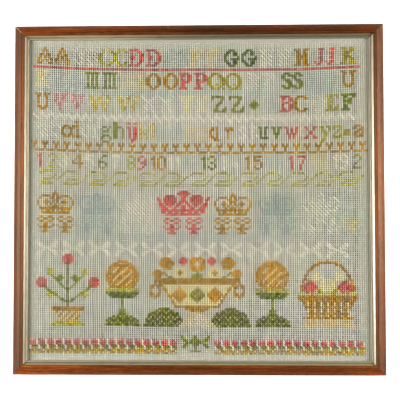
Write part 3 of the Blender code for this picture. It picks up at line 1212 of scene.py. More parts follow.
    def _urn(self, chart: Chart, column: int) -> None:
        """A wide two-handled urn of flowers between green mounds.

        Args:
            chart: The chart that it is worked on.
            column: Its middle column.
        """
        t = Thread
        for side in (-1, 1):
            self._mound(chart, column + side * 15, 9.4, 9.2)
            chart.fill(chart.disc(118.5, column + side * 19, 3.6, 2.8), t.GOLD)
            chart.cells[chart.disc(118.5, column + side * 19, 1.8, 1.2)] = 0
            chart.fill(chart.slant(114, column + side * 4, 7, side * 1.4, 0.8), t.LEAF)
            chart.fill(chart.slant(114, column + side * 9, 4, side * 1.6, 0.8), t.LEAF)
            chart.fill(chart.disc(105.5, column + side * 14, 2.8, 3.2), t.GOLD)
            chart.fill(chart.disc(110.5, column + side * 18, 2.2, 2.6), t.AMBER)
            chart.fill(chart.disc(110, column + side * 8, 3.0, 3.2), t.CREAM)
            chart.fill(chart.lozenge(110, column + side * 8, 1.6), t.GOLD)
            chart.fill(chart.disc(104.5, column + side * 6.5, 1.8, 2.2), t.ROSE)
        chart.fill(chart.disc(106, column, 3.6, 3.8), t.AMBER)
        chart.fill(chart.lozenge(106, column, 1.8), t.CREAM)
        chart.fill(chart.lozenge(111.5, column, 2.2, 2.6), t.LEAF)
        chart.fill(chart.taper(113, 114, column, 19, 19), t.GOLD)
        chart.fill(chart.taper(115, 126, column, 17, 10), t.GOLD)
        chart.fill(chart.taper(116, 125, column, 15, 9.4), t.CREAM)
        for side in (-1, 1):
            chart.fill(chart.lozenge(120.5, column + side * 8, 3.6), t.AMBER)
        chart.fill(chart.lozenge(120.5, column, 4.4, 3.4), t.LEAF)
        chart.fill(chart.lozenge(120.5, column, 3.0, 2.2), t.GOLD, every=2)
        chart.fill(chart.taper(127, 128, column, 5, 3), t.GOLD)
        chart.fill(chart.taper(129, 135, column, 2.4, 8.4), t.TAN)
        chart.fill(chart.taper(130, 135, column, 1.4, 6.4), t.IVORY, every=3)

    def _basket(self, chart: Chart, column: int) -> None:
        """A basket of flowers with an arched handle.

        Args:
            chart: The chart that it is worked on.
            column: Its middle column.
        """
        t = Thread
        arch = chart.disc(119, column, 15, 12.4) & ~chart.disc(119, column, 13.6, 11) & (chart.down < 120)
        chart.fill(arch, t.GOLD)
        for side in (-1, 1):
            chart.fill(chart.slant(120, column + side * 2, 7, side * 0.9, 0.9), t.YELLOW)
            chart.fill(chart.disc(116.5, column + side * 8, 2.9, 3.1), t.ROSE)
            chart.fill(chart.disc(111.5, column + side * 5, 2.2, 2.4), t.CREAM)
        chart.fill(chart.disc(115.5, column, 3.2, 3.4), t.CREAM)
        chart.fill(chart.disc(110, column, 1.8, 2.2), t.SKY)
        chart.fill(chart.taper(119, 120, column, 13.4, 13.4), t.YELLOW, every=2)
        chart.fill(chart.taper(121, 122, column, 13.4, 13.4), t.GOLD)
        body = chart.taper(123, 130, column, 12, 9)
        chart.fill(body, t.GOLD)
        chart.fill(body & (chart.right % 3 == 0) & (chart.down % 3 != 0), t.CREAM)
        chart.fill(chart.taper(131, 131, column, 11, 11), t.GOLD)
        chart.fill(chart.taper(132, 135, column, 9, 12), t.TAN)

    def _footing(self, chart: Chart) -> None:
        """The border along the foot: rose blocks over green and gold with pale partings, and a tulip in its middle.

        Args:
            chart: The chart that it is worked on.
        """
        t = Thread
        legend = {"W": t.IVORY, "B": t.BLUSH, "R": t.ROSE, "L": t.LEAF, "M": t.MOSS, "Y": t.YELLOW, "G": t.GOLD}
        for column in range(0, self.columns - 2, self.FOOTING_STEP):
            chart.stamp(self.FOOTING, self.FOOTING_ROW, column, legend)
        chart.cells[self.FOOTING_ROW:, self.MIDDLE_GAP] = 0
        chart.stamp(self.TULIP, self.FOOTING_ROW - 1, self.MIDDLE_GAP.start + 2, t.LEAF)


@dataclass
class ClothLay:
    """How the cloth lies: where each thread crossing and each stitch corner is, and how high the cloth stands.

    At each of SAG_ROWS, SAG_SHARES is the share of the deepest sag in mid-width, and DROPS_MM is how far the whole
    row lies below its even place. Each of SWELLS is a soft rise of the cloth: its centre, its half length and half
    width in millimetres, its turn in degrees and its height in millimetres.
    """

    box_low: Vector
    box_high: Vector
    rows: int
    columns: int
    pitch_x: float = 2.378 * MM
    pitch_y: float = 2.296 * MM
    field_drop: float = 0.35 * MM
    margin: float = 15.9 * MM
    slope: float = 5 * MM
    deepest_sag: float = 3.8 * MM
    lean: float = 1.15 * MM
    lean_reach: float = 170 * MM
    calm_columns: float = 10.0
    waver_x: tuple[float, float] = (0.35 * MM, 0.2 * MM)
    waver_y: tuple[float, float] = (0.3 * MM, 0.15 * MM)
    SAG_ROWS = (-6, 4, 12, 30, 52, 75, 105, 160)
    SAG_SHARES = (0.5, 0.8, 1.0, 0.95, 0.85, 0.5, 0.12, 0.0)
    DROPS_MM = (1.5, 1.5, 1.5, 1.5, 0.75, 0.5, 0.2, -0.6)
    SWELLS = (
        (-60, -150, 55, 12, 4, 0.30),
        (70, -152, 60, 11, -5, 0.28),
        (-130, 120, 70, 22, -3, 0.22),
        (20, 105, 90, 26, 0, -0.24),
        (135, 90, 60, 30, 12, 0.22),
        (-90, -20, 80, 34, 18, 0.18),
        (110, -50, 75, 30, -22, 0.20),
    )

    def place(self, column: np.ndarray, row: np.ndarray) -> tuple[np.ndarray, np.ndarray]:
        """Where a chart place lies: an even grid, a little askew, that sags in mid-width near the top and wavers.

        Args:
            column: Places counted right from the chart's left edge.
            row: Places counted down from the chart's top edge.

        Returns:
            The x and y of each place, in metres.
        """
        x = (column - self.columns / 2) * self.pitch_x
        y = (self.rows / 2 - row) * self.pitch_y
        across = np.clip(1 - (x / (self.columns / 2 * self.pitch_x)) ** 2, 0, 1)
        sag = self.deepest_sag * np.interp(row, self.SAG_ROWS, self.SAG_SHARES) * across
        sag = sag + np.interp(row, self.SAG_ROWS, self.DROPS_MM) * MM + self.lean * x / self.lean_reach
        inside = np.clip(np.minimum(column, self.columns - column) / self.calm_columns, 0, 1)
        slow, quick = self.waver_x
        off_x = slow * np.sin(y / (38 * MM) + 0.7) * inside + quick * np.sin(y / (17 * MM) + x / (60 * MM))
        slow, quick = self.waver_y
        off_y = slow * np.sin(x / (31 * MM) + y / (90 * MM)) + quick * np.sin(x / (13 * MM) + 1.9)
        return x + off_x, y - sag + off_y

    def height(self, x: np.ndarray, y: np.ndarray) -> np.ndarray:
        """Top of the cloth: the hemmed margin lies high, and the field a little lower with soft bell-shaped swells.

        Args:
            x: Places across.
            y: Places up the frame.

        Returns:
            The height at each place, in metres.
        """
        swell = np.zeros(np.broadcast(x, y).shape)
        for centre_x, centre_y, half_length, half_width, turn_deg, rise in self.SWELLS:
            turn = math.radians(turn_deg)
            off_x, off_y = x - centre_x * MM, y - centre_y * MM
            along = (off_x * math.cos(turn) + off_y * math.sin(turn)) / (half_length * MM)
            across = (off_y * math.cos(turn) - off_x * math.sin(turn)) / (half_width * MM)
            swell += rise * MM * np.exp(-along * along - across * across)
        return self.box_high.z - (self.field_drop - swell) * self.in_field(x, y)

    def in_field(self, x: np.ndarray, y: np.ndarray) -> np.ndarray:
        """0 on the hemmed margin, rising to 1 in the open field."""
        inside = np.minimum(self.box_high.x - np.abs(x), self.box_high.y - np.abs(y))
        return smooth_step((inside - self.margin) / self.slope)


@dataclass
class DyeAndShadeMap:
    """Colour of the linen over the cloth: silks that bled into it, old washes and stains, and painted shade along the
    cloth's edges and under the stitches.

    BLEEDS is how strongly each silk pulls the linen round it towards its own colour, by its blurred cover.
    UNDER_STITCH and UNDER_FAINT are how strongly it does so in its own cells, and UNDER_STITCH_SHADE darkens the
    silk's colour there as painted shade under the stitch. Each of WASHES_AND_EDGE_SHADE is a bell: its centre and its
    half sizes in millimetres, and the red, green and blue that it multiplies the linen by. Some are stains and tints,
    and the dark bands along the cloth's left, right, top and bottom edges are painted shade beside the frame.
    """

    chart: Chart
    margin: int = 6
    UNDER_STITCH = 0.82
    UNDER_FAINT = 0.30
    UNDER_STITCH_SHADE = 0.85
    BLEED_REACH, CLOUD_REACH = 1.9, 4.0
    CLOUDS, MOTTLE = 0.35, 0.06
    SEED = 41
    BLEEDS = {
        Thread.SKY: 0.05, Thread.TEAL: 0.05, Thread.IVORY: 0.10, Thread.CREAM: 0.12, Thread.TAN: 0.12,
        Thread.YELLOW: 0.06, Thread.LEAF: 0.06, Thread.MOSS: 0.05, Thread.ROSE: 0.05, Thread.BLUSH: 0.08,
        Thread.GOLD: 0.05, Thread.AMBER: 0.05, Thread.PINE: 0.05, Thread.STRAW: 0.08, Thread.BRASS: 0.05,
        Thread.OCHRE: 0.05,
    }
    WASHES_AND_EDGE_SHADE = (
        # This bell darkens the cloth towards its top.
        (0, 168, 260, 24, 0.88, 0.88, 0.87),
        (-114, -12, 24, 26, 0.99, 1.0, 1.0),
        (86, -8, 24, 20, 0.86, 0.92, 0.92),
        (133, 126, 26, 13, 0.88, 0.94, 0.96),
        (-118, 130, 30, 12, 1.06, 1.09, 1.12),
        (-10, 117, 150, 6, 0.96, 1.0, 1.02),
        (158, -14, 26, 44, 0.90, 0.96, 1.0),
        (150, 60, 60, 140, 0.95, 0.94, 0.91),
        (131, -118, 62, 30, 0.97, 0.97, 1.03),
        (-15, 88, 66, 30, 1.05, 1.03, 1.05),
        (90, -90, 90, 80, 1.05, 1.02, 1.02),
        # Painted shade beside the frame: the next five bells darken the cloth along its right, left, top and bottom
        # edges, and once more inside the right edge.
        (183.6, 0, 2.6, 400, 0.88, 0.85, 0.78),
        (-186.5, 0, 7, 400, 0.40, 0.40, 0.38),
        (0, 174, 260, 7, 0.88, 0.875, 0.885),
        (0, -174, 260, 7, 0.88, 0.88, 0.89),
        (176, 0, 9, 400, 0.93, 0.92, 0.91),
        (-20, -150, 200, 24, 0.90, 0.90, 0.91),
        (-20, -50, 190, 14, 0.91, 0.92, 0.945),
        (120, 60, 40, 16, 1.02, 0.99, 0.93),
        (-150, 60, 26, 30, 1.02, 1.0, 0.97),
        (-143, 108, 20, 9, 1.05, 1.06, 1.07),
        (-150, 85, 60, 26, 0.97, 0.99, 1.03),
        (-20, -130, 220, 40, 0.99, 1.0, 1.025),
    )

    def tints(self, lay: ClothLay) -> np.ndarray:
        """Tints the linen takes, cell by cell, with a margin round the chart.

        Each silk pulls the linen's colour towards its own by its blurred cover, and each bell of the washes, stain or
        painted shade, multiplies it.

        Args:
            lay: Where the cloth lies.

        Returns:
            Multipliers of the linen's colour, rows by columns by three.
        """
        padded = np.pad(self.chart.cells, self.margin)
        rows = np.arange(padded.shape[0])[:, None] - self.margin
        columns = np.arange(padded.shape[1])[None, :] - self.margin
        linen = np.array(LinenFinish().linen)
        total = np.ones((*padded.shape, 3))
        for thread, pull in self.BLEEDS.items():
            cover = blurred((padded == thread.number).astype(float), self.BLEED_REACH)[..., None] * pull
            total *= 1 + cover * (np.array(linear(*thread.value)) / linen - 1)
        x, y = lay.place(columns + 0.5, rows + 0.5)
        for centre_x, centre_y, half_x, half_y, *tint in self.WASHES_AND_EDGE_SHADE:
            bell = np.exp(-(((x / MM - centre_x) / half_x) ** 2) - ((y / MM - centre_y) / half_y) ** 2)
            total *= 1 + bell[..., None] * (np.array(tint) - 1)
        random = np.random.default_rng(self.SEED)
        for thread in Thread:
            cells = padded == thread.number
            most = self.UNDER_FAINT if thread.faint else self.UNDER_STITCH
            pulled = most * random.uniform(0.7, 1.1, (int(cells.sum()), 1))
            # The linen in a silk's own cells takes the silk's colour, darkened by painted shade under the stitch.
            total[cells] *= 1 + pulled * (self.UNDER_STITCH_SHADE * np.array(linear(*thread.value)) / linen - 1)
        cloud = blurred(random.normal(size=(*padded.shape, 3)), self.CLOUD_REACH) * self.CLOUDS
        mottle = np.clip(random.normal(size=(*padded.shape, 1)), -2.5, 2.5)
        return np.clip(total * (1 + self.CLOUDS * cloud + self.MOTTLE * mottle), 0.0, 1.5)

    def sample(self, tints: np.ndarray, column: np.ndarray, row: np.ndarray) -> np.ndarray:
        """The tint at each place, taken from the nearest cell.

        Args:
            tints: The tints, as the method above gives them.
            column: Places counted right from the chart's left edge.
            row: Places counted down from the chart's top edge.

        Returns:
            One colour for each place.
        """
        across = np.clip(np.round(column - 0.5).astype(int) + self.margin, 0, tints.shape[1] - 1)
        down = np.clip(np.round(row - 0.5).astype(int) + self.margin, 0, tints.shape[0] - 1)
        return tints[down, across]


class Weave(Enum):
    """A set of ground threads, by the axis that it runs along."""

    WARP = "y"
    WEFT = "x"


@dataclass(frozen=True)
class LinenFinish:
    """Undyed linen gone grey-green with age, with the fibres of each thread lying along it."""

    linen: Colour = linear(205, 205, 188)
    # Painted shade: the dark of the holes between the threads.
    shade: Colour = linear(54, 50, 36)
    warp_fibres: Scales = (3400.0, 420.0, 900.0)
    weft_fibres: Scales = (420.0, 3400.0, 900.0)
    fluff_size: Scales = (1500.0, 1500.0, 1500.0)
    blotch_size: Scales = (420.0, 420.0, 420.0)
    nap_size: Scales = (2600.0, 2600.0, 2600.0)

    def threads(self, weave: Weave) -> bpy.types.Material:
        """Builds the material of one set of threads, with fibre lines along them.

        Args:
            weave: Warp or weft. The weft is a little darker, as painted shade where it lies below the warp.

        Returns:
            The finished material.
        """
        graph = Graph(f"linen_{weave.name.lower()}")
        place = graph.place()
        # The weft's lower depth is painted shade.
        fibres, depth = (self.warp_fibres, 0.78) if weave is Weave.WARP else (self.weft_fibres, 0.70)
        fibre = graph.noise(place, fibres, 3.0, 0.6)
        fluff = graph.noise(place, self.fluff_size, 2.0, 0.5)
        tone = depth + fibre * 0.24 + fluff * 0.12
        # The thread's colour mark holds stains and painted shade along the cloth's edges.
        colour = graph.multiplied(graph.multiplied(graph.tint("dye"), graph.grey(tone)), self.linen)
        graph.raised(fibre + fluff * 0.4, 0.12 * MM, 0.8)
        return graph.finish({"Base Color": colour, "Roughness": 0.92, "Specular IOR Level": 0.15})

    def ground(self) -> bpy.types.Material:
        """Builds the material of the cloth behind the threads: dark in the field as painted shade seen through the
        holes, and light where it is doubled.

        Returns:
            The finished material.
        """
        graph = Graph("linen_ground")
        place = graph.place()
        blotches = graph.noise(place, self.blotch_size)
        nap = graph.noise(place, self.nap_size, 2.0)
        lit = graph.multiplied(self.linen, graph.grey(0.46 + nap * 0.26))
        # Painted shade seen through the holes of the open field.
        dull = graph.multiplied(self.shade, graph.grey(0.65 + blotches * 0.5))
        graph.raised(nap, 0.1 * MM, 0.7)
        colour = graph.mixed(graph.mark("doubled"), dull, lit)
        return graph.finish({"Base Color": colour, "Roughness": 0.95, "Specular IOR Level": 0.15})


@dataclass(frozen=True)
class SilkFinish:
    """Untwisted silk, whose fine filaments lie along each stitch and catch the light."""

    thread: Thread
    filament_size: Scales = (500.0, 9000.0, 1.0)
    fading_size: Scales = (60.0, 60.0, 60.0)

    def material(self) -> bpy.types.Material:
        """Builds the silk's material on its floss map, whose first axis runs along the stitch, in metres.

        Returns:
            The finished material.
        """
        graph = Graph(f"silk_{self.thread.name.lower()}")
        filament = graph.noise(graph.map("floss"), self.filament_size, 2.0, 0.5)
        fading = graph.noise(graph.place(), self.fading_size)
        # The shade mark holds each stitch's own tone, with painted shade at its ends and a painted highlight in its
        # middle.
        tone = graph.mark("shade") * (0.80 + filament * 0.22 + fading * 0.20)
        colour = graph.multiplied(linear(*self.thread.value), graph.grey(tone))
        graph.raised(filament, 0.06 * MM, 0.7)
        return graph.finish({"Base Color": colour, "Roughness": 0.6, "Specular IOR Level": 0.12})


@dataclass
class SamplerCloth:
    """The cloth: a thin ground sheet, its warp and weft threads, and its cross stitches.

    Each SECTION value is one corner of a thread's four-sided section. A value of unevenness is a share of what it
    varies, and a stray is in cells. Each value that ends in faint is for the faded silks.
    """

    SECTION_UP = (-0.5, 0.5, 0.5, -0.5)
    THREAD_ACROSS = (-1.0, -0.52, 0.52, 1.0)
    STITCH_ACROSS = (-1.0, -0.55, 0.55, 1.0)

    lay: ClothLay
    chart: Chart
    warp_half_width: float = 0.64 * MM
    weft_half_width: float = 0.52 * MM
    thread_thickness: float = 0.5 * MM
    warp_rise: float = -0.32 * MM
    weft_rise: float = -0.50 * MM
    crimp: float = 0.085 * MM
    under_slip: float = 2.0 * MM
    sight_x: float = 184.6 * MM
    sight_y: float = 173.6 * MM
    ground_step: float = 6 * MM
    ground_drop: float = 0.82 * MM
    hem_lift: float = 0.42 * MM
    stitch_half_width: float = 0.47 * MM
    stitch_thickness: float = 0.42 * MM
    back_clear: float = 0.05 * MM
    spare_threads: int = 3
    thread_stray: tuple[float, float] = (0.025, 0.10)
    slub_unevenness: tuple[float, float] = (0.24, 0.035)
    thread_tone: tuple[float, float] = (0.04, 0.10)
    stitch_stray: float = 0.045
    stitch_rises: tuple[float, float] = (0.20 * MM, 0.52 * MM)
    rise_unevenness: float = 0.12
    width_unevenness: float = 0.14
    tone_unevenness: float = 0.42
    tone_unevenness_faint: float = 0.10
    # Painted highlight along the raised middle of each bar.
    middle_highlight: float = 1.12
    foot: float = -0.5 * MM
    half_stitch_foot: float = 0.1 * MM
    foot_in: float = 0.20
    half_stitch_foot_in: float = 0.02
    floss_step: float = 0.4 * MM

    def ground(self) -> Surface:
        """The ground sheet: a fine grid that follows the cloth's height, over a flat back, closed round its edge.

        Returns:
            The closed surface, marked where the hem doubles it.
        """
        low, high = self.lay.box_low, self.lay.box_high
        count_x = round((high.x - low.x) / self.ground_step) + 1
        count_y = round((high.y - low.y) / self.ground_step) + 1
        x, y = np.meshgrid(np.linspace(low.x, high.x, count_x), np.linspace(low.y, high.y, count_y))
        doubled = 1 - self.lay.in_field(x, y)
        top = self.lay.height(x, y) - self.ground_drop + self.hem_lift * doubled
        back = np.full_like(x, low.z + self.back_clear)
        corners = np.concatenate([np.stack([x, y, z], -1).reshape(-1, 3) for z in (top, back)])
        front = lattice(count_y, count_x)
        total = count_x * count_y
        rim = np.concatenate([
            np.arange(count_x - 1),
            np.arange(count_x - 1, total - 1, count_x),
            np.arange(total - 1, total - count_x, -1),
            np.arange(total - count_x, 0, -count_x),
        ])
        after = np.roll(rim, -1)
        walls = np.stack([rim, rim + total, after + total, after], axis=1)
        faces = [np.concatenate([front, front[:, ::-1] + total, walls[:, ::-1]])]
        marks = {"doubled": np.tile(doubled.reshape(-1), 2)}
        return Surface(corners, faces, {}, marks).turned_out()

    def threads(self, weave: Weave, first: int, last: int, dye: DyeAndShadeMap, tints: np.ndarray) -> Surface:
        """Threads of one set, from number first up to last: a flat-bottomed section carried along each thread.

        Each thread has one ring at each crossing, which goes over and under in turn. It strays from its place by a
        part of its own and a part that changes slowly, and its slubs make it thicker and darker.

        Args:
            weave: Warp or weft.
            first: The first thread's number in the chart's cells.
            last: The number after the last thread's.
            dye: The dye map, for its sampling.
            tints: The tints of the linen.

        Returns:
            The closed threads, with their colour.
        """
        warp = weave is Weave.WARP
        random = np.random.default_rng(first * 7 + (1 if warp else 2) * 1000)
        reach = self.sight_y if warp else self.sight_x
        pitch = self.lay.pitch_y if warp else self.lay.pitch_x
        middle = (self.lay.rows if warp else self.lay.columns) / 2
        half_count = math.ceil((reach + self.under_slip) / pitch)
        numbers = np.arange(first, last)[:, None]
        stations = (math.floor(middle) + 0.5 + np.arange(-half_count, half_count + 1))[None, :]
        shape = (len(numbers), stations.shape[1])
        own_stray, slow_stray = self.thread_stray
        stray = random.normal(0, own_stray, (shape[0], 1)) + blurred(random.normal(size=shape), 5, (1,)) * slow_stray
        own = numbers + 0.5 + stray
        column, row = np.broadcast_arrays(own, stations) if warp else np.broadcast_arrays(stations, own)
        x, y = self.lay.place(column, row)
        crossing = np.where((np.floor(stations) + numbers) % 2 == 0, 1.0, -1.0)
        z = self.lay.height(x, y) + (self.warp_rise if warp else self.weft_rise)
        z = z + crossing * self.crimp * (1 if warp else -1)
        quick, whole = self.slub_unevenness
        slub = blurred(random.normal(size=shape), 1.4, (1,)) * quick + random.normal(0, whole, (shape[0], 1))
        half = (self.warp_half_width if warp else self.weft_half_width) * np.clip(1 + slub, 0.6, 1.35)
        thick = self.thread_thickness * np.clip(1 + 0.5 * slub, 0.7, 1.2)
        off = half[..., None] * np.array(self.THREAD_ACROSS)
        corner_x = x[..., None] + (off if warp else 0)
        corner_y = y[..., None] + (0 if warp else off)
        corner_z = z[..., None] + thick[..., None] * np.array(self.SECTION_UP)
        corners = np.stack(np.broadcast_arrays(corner_x, corner_y, corner_z), axis=-1)
        own_tone, slub_tone = self.thread_tone
        tone = 1 + random.normal(0, own_tone, (shape[0], 1)) - slub_tone * slub
        # The tints hold stains and silk colour, with painted shade along the cloth's edges and under the stitches.
        colour = dye.sample(tints, column, row) * tone[..., None]
        colours = np.repeat(colour[:, :, None, :], 4, axis=2)
        faces = bar_faces(shape[0], shape[1])
        return Surface(corners.reshape(-1, 3), faces, {}, {"dye": colours.reshape(-1, 3)}).turned_out()

    def _bars(
        self, thread: Thread, second: bool, row: np.ndarray, column: np.ndarray, random: np.random.Generator
    ) -> np.ndarray:
        """One bar of each stitch, from corner to corner of its cell: the first leans left and the second right.

        A bar has three rings, narrow and low at its ends and wide and high in its middle.

        Args:
            thread: The silk.
            second: Whether it is the bar on top.
            row: The stitches' rows.
            column: The stitches' columns.
            random: The silk's own random numbers.

        Returns:
            The corners, as bars by rings by corners by three.
        """
        foot, foot_in = self.foot, self.foot_in
        if thread.half_stitched:
            foot, foot_in = self.half_stitch_foot, self.half_stitch_foot_in
        from_row, to_row = (0.0, 1.0) if second else (1.0, 0.0)
        loose = random.normal(0, self.stitch_stray, (4, len(row)))
        start = self._corner(column + loose[0], row + from_row + loose[1])
        end = self._corner(column + 1.0 + loose[2], row + to_row + loose[3])
        share = np.array([foot_in, 0.5, 1 - foot_in])[None, :, None]
        centre = start[:, None] * (1 - share) + end[:, None] * share
        rise = self.stitch_rises[second] * random.normal(1, self.rise_unevenness, (len(row), 1))
        low = np.full_like(rise, foot)
        centre[..., 2] += np.concatenate([low, rise, low], 1)
        heading = (end - start)[:, :2]
        heading /= np.linalg.norm(heading, axis=1)[:, None]
        across = np.stack([-heading[:, 1], heading[:, 0], np.zeros(len(row))], axis=1)
        width = random.normal(1, self.width_unevenness, (len(row), 1))
        half = self.stitch_half_width * width * np.array([[0.6, 1.0, 0.6]])
        off = half[..., None, None] * np.array(self.STITCH_ACROSS)[:, None] * across[:, None, None, :]
        corners = centre[:, :, None, :] + off
        corners[..., 2] += self.stitch_thickness * np.array(self.SECTION_UP)
        return corners

    def stitches(self, thread: Thread) -> Surface | None:
        """All the stitches of one silk: two crossing bars to a stitch, or one where it is half-stitched.

        Args:
            thread: The silk.

        Returns:
            The closed bars, or None where the silk isn't used.
        """
        rows, columns = np.nonzero(self.chart.cells == thread.number)
        if not len(rows):
            return None
        random = np.random.default_rng(100 + thread.number)
        unevenness = self.tone_unevenness_faint if thread.faint else self.tone_unevenness
        stitch_tone = 1 + unevenness * np.clip(random.normal(size=len(rows)), -1.9, 1.9)
        # Painted shade at each bar's ends, where it dives into the holes, and a painted highlight in its middle.
        along = np.array([thread.end_shade, self.middle_highlight, thread.end_shade])[None, :, None]
        parts, shades = [], []
        for second in (False, True):
            chosen = np.full(len(rows), second or not thread.half_stitched)
            parts.append(self._bars(thread, second, rows[chosen], columns[chosen], random))
            shades.append(np.broadcast_to(stitch_tone[chosen][:, None, None] * along, parts[-1].shape[:3]))
        corners = np.concatenate(parts)
        bars = len(corners)
        length = math.hypot(self.lay.pitch_x, self.lay.pitch_y)
        faces = bar_faces(bars, 3)
        u = np.broadcast_to(np.array([0, 0.5, 1])[None, :, None] * length, (bars, 3, 4))
        v = np.arange(4)[None, None, :] * self.floss_step + np.arange(bars)[:, None, None] * MM
        spots = np.stack([u, np.broadcast_to(v, u.shape)], axis=-1).reshape(-1, 2)
        maps = {"floss": [spots[group] for group in faces]}
        marks = {"shade": np.concatenate(shades).reshape(-1)}
        return Surface(corners.reshape(-1, 3), faces, maps, marks).turned_out()

    def _corner(self, column: np.ndarray, row: np.ndarray) -> np.ndarray:
        """The places of chart corners, on the cloth's top."""
        x, y = self.lay.place(column, row)
        return np.stack([x, y, self.lay.height(x, y)], axis=1)

    def build(self) -> None:
        finish = LinenFinish()
        dye = DyeAndShadeMap(self.chart)
        tints = dye.tints(self.lay)
        sheet = self.ground().piece("linen_ground", finish.ground(), "linen", crease_deg=50)
        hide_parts("sampler_cloth")
        for weave in Weave:
            material = finish.threads(weave)
            count = self.lay.columns if weave is Weave.WARP else self.lay.rows
            cuts = ((-self.spare_threads, count // 2), (count // 2, count + self.spare_threads))
            for number, (first, last) in enumerate(cuts, start=1):
                surface = self.threads(weave, first, last, dye, tints)
                surface.piece(f"linen_{weave.name.lower()}_{number}", material, "linen")
        for thread in Thread:
            surface = self.stitches(thread)
            if surface is not None:
                name = f"stitches_{thread.name.lower()}"
                surface.piece(name, SilkFinish(thread).material(), "linen", crease_deg=60)


@dataclass(frozen=True)
class BoardFinish:
    """Bare softwood board, browned with age, with broad grain along it."""

    pale: Colour = linear(170, 128, 84)
    dark: Colour = linear(112, 78, 46)
    bend_size: Scales = (5.0, 9.0, 5.0)
    ring_size: Scales = (3.0, 60.0, 1.0)
    fine_size: Scales = (30.0, 1500.0, 30.0)

    def material(self) -> bpy.types.Material:
        """Builds the material on the board's place in the frame.

        Returns:
            The finished material.
        """
        graph = Graph("bare_board")
        place = graph.place()
        bend = graph.noise(place, self.bend_size, 2.0)
        rings = graph.node(
            "ShaderNodeTexWave",
            {"bands_direction": "Y", "wave_profile": "SAW"},
            {"Vector": graph.stretched(place, self.ring_size), "Scale": 0.6, "Distortion": 3.0, "Detail": 2.0},
        )
        fine = graph.noise(place, self.fine_size)
        share = Channel(graph, rings.outputs["Fac"]) * 0.5 + fine * 0.35 + bend * 0.25
        graph.raised(fine, 0.1 * MM, 0.5)
        return graph.finish({"Base Color": graph.mixed(share, self.pale, self.dark), "Roughness": 0.7 + fine * 0.2})


@dataclass(frozen=True)
class SoftBox:
    """A rectangular light that faces the frame, with its place and size in metres and its power in watts."""

    name: str
    at: Place
    size: tuple[float, float]
    power: float
    colour: Colour

    def build(self) -> None:
        """Makes the light and turns it to the frame."""
        data = bpy.data.lights.new(self.name, "AREA")
        data.shape = "RECTANGLE"
        data.size, data.size_y = self.size
        data.energy = self.power
        data.color = self.colour
        found = linked(self.name, data)
        found.location = self.at
        found.rotation_mode = "QUATERNION"
        found.rotation_quaternion = (-Vector(self.at)).to_track_quat("-Z", "Y")


@dataclass(frozen=True)
class Studio:
    """The floor, the lights and the camera."""

    image_px: float = 400.0
    focal_px: float = 900.0
    sensor_mm: float = 36.0
    camera_at: Place = (0.0277, -0.0406, 0.9821)
    looks_at: Place = (0.0014, -0.0008, 0.0)
    roll_deg: float = -0.075
    floor_size: float = 24.0
    floor_tones: tuple[Colour, Colour] = ((0.93, 0.93, 0.92), (0.96, 0.96, 0.955))
    sky_colour: Colour = (0.95, 0.98, 1.0)
    sky_strength: float = 0.07
    boxes: tuple[SoftBox, SoftBox] = (
        SoftBox("box_left", (-1.11, 0.0, 0.93), (0.5, 0.7), 22.0, (1.0, 0.985, 0.95)),
        SoftBox("box_right", (1.13, 0.06, 0.80), (0.36, 0.62), 20.5, (1.0, 0.98, 0.94)),
    )

    def camera(self) -> None:
        """Puts the camera over the frame, with the photograph's angle and field of view."""
        data = bpy.data.cameras.new("camera")
        data.sensor_width = self.sensor_mm
        data.lens = self.focal_px / self.image_px * self.sensor_mm
        found = linked("camera", data)
        found.location = self.camera_at
        back = (Vector(self.camera_at) - Vector(self.looks_at)).normalized()
        right = Vector((0, 1, 0)).cross(back).normalized()
        upright = Matrix((right, back.cross(right), back)).transposed()
        found.rotation_mode = "QUATERNION"
        found.rotation_quaternion = upright.to_quaternion() @ Quaternion((0, 0, 1), math.radians(self.roll_deg))
        bpy.context.scene.camera = found

    def floor(self) -> None:
        """Lays the pale, evenly lit floor, with a faint unevenness in its colour."""
        half = self.floor_size / 2
        data = bpy.data.meshes.new("floor")
        data.from_pydata([(-half, -half, 0), (half, -half, 0), (half, half, 0), (-half, half, 0)], [], [(0, 1, 2, 3)])
        graph = Graph("pale_floor")
        mottle = graph.noise(graph.place(), (2.0, 2.0, 2.0), 2.0)
        pale = graph.mixed(mottle, *self.floor_tones)
        data.materials.append(
            graph.finish(
                {"Base Color": pale, "Roughness": 0.9, "Emission Color": (1.0, 1.0, 1.0), "Emission Strength": 1.0}
            )
        )
        linked("floor", data)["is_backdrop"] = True

    def build(self) -> None:
        """Sets up the floor, the two soft boxes, the sky's even light and the camera."""
        self.floor()
        for box in self.boxes:
            box.build()
        world = bpy.data.worlds.new("studio")
        world.use_nodes = True
        sky = world.node_tree.nodes["Background"]
        sky.inputs["Color"].default_value = (*self.sky_colour, 1.0)
        sky.inputs["Strength"].default_value = self.sky_strength
        bpy.context.scene.world = world
        bpy.context.scene.view_settings.view_transform = "Standard"
        self.camera()


def rail_outline(depth: float) -> Outline:
    """Section of the wooden rail, as (across, up, radius): a crowned face, a quirk, a bead and a rebate.

    Args:
        depth: The frame's depth, which the bead's top reaches.

    Returns:
        The outline, clockwise from the foot of the rebate.
    """
    side = depth - 0.35 * MM
    corners = (
        (6.0 * MM, 0.0, 0.0),
        (0.0, 0.0, 0.4 * MM),
        (0.0, 13.4 * MM, 1.2 * MM),
        (4.3 * MM, 16.3 * MM, 12.0 * MM),
        (8.2 * MM, side, 0.12 * MM),
        (8.5 * MM, side - 0.45 * MM, 0.1 * MM),
        (8.8 * MM, depth, 0.15 * MM),
        (9.3 * MM, depth, 0.5 * MM),
        (11.0 * MM, 16.6 * MM, 0.7 * MM),
        (11.0 * MM, 14.4 * MM, 0.0),
        (6.0 * MM, 14.4 * MM, 0.0),
    )
    return Outline(corners)


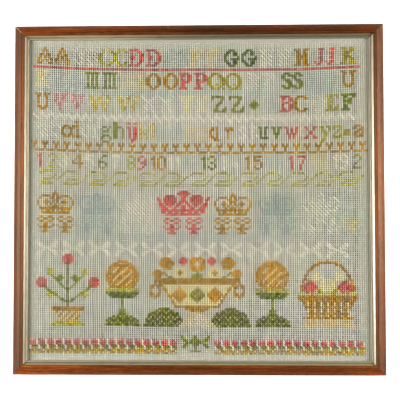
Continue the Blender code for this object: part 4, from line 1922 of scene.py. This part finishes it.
def slip_outline() -> Outline:
    """Section of the gilt slip, as (across, up, radius): a flat, a slope, a valley and a bead at the sight edge.

    Returns:
        The outline, clockwise from the foot of the sight edge.
    """
    corners = (
        (15.4 * MM, 9.8 * MM, 0.0),
        (6.3 * MM, 9.8 * MM, 0.0),
        (6.3 * MM, 14.1 * MM, 0.0),
        (11.3 * MM, 14.1 * MM, 0.4 * MM),
        (13.5 * MM, 12.9 * MM, 0.1 * MM),
        (13.9 * MM, 13.3 * MM, 0.3 * MM),
        (15.4 * MM, 13.3 * MM, 0.5 * MM),
    )
    return Outline(corners)


def main() -> None:
    """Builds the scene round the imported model."""
    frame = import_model()
    cad_low, cad_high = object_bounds()
    width, height, depth = cad_high - cad_low
    Studio().build()
    MitredFrame(
        "moulding", "rail", "mahogany", rail_outline(depth), width, height, stations=120, unevenness=0.07 * MM,
        # Per side, partly the wood's own tone and partly painted shade for how the lamps fall, darkest on the top and
        # left rails; the stretches are painted sheen where lamps reflect, and the left rail's edges carry a painted
        # highlight.
        side_tone_and_painted_light=(0.58, 0.46, 0.30, 0.30),
        painted_edge_highlights=(0.0, 0.0, 0.0, 0.9),
        painted_sheen_stretches=(
            (Side.TOP, -190 * MM, 105 * MM, 2.1),
            (Side.TOP, 200 * MM, 90 * MM, 0.25),
            (Side.LEFT, 35 * MM, 110 * MM, 0.9),
            (Side.RIGHT, -10 * MM, 100 * MM, 0.8),
            (Side.BOTTOM, -205 * MM, 80 * MM, 1.3),
            (Side.BOTTOM, 185 * MM, 40 * MM, 0.4),
        ),
    ).build(MahoganyFinish().material())
    MitredFrame(
        "gilt_slip", "slip", "gilt", slip_outline(), width, height, stations=90, unevenness=0.04 * MM, seed=17,
        # Per side: painted highlight on the left and right slips, painted shade on the top one, and a stretch of
        # painted sheen on the top slip.
        side_tone_and_painted_light=(0.86, 1.1, 0.47, 1.3), painted_sheen_stretches=((Side.TOP, -120 * MM, 75 * MM, 1.4),)
    ).build(GiltFinish().material())
    design = SamplerDesign()
    low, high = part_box("sampler_cloth")
    lay = ClothLay(low, high, design.rows, design.columns)
    SamplerCloth(lay, design.worked()).build()
    board = frame["nodes"]["backing_board"]
    board.data.materials.clear()
    board.data.materials.append(BoardFinish().material())


if __name__ == "__main__":
    logging.basicConfig(level=logging.INFO, format="%(name)s: %(message)s", stream=sys.stdout)
    main()
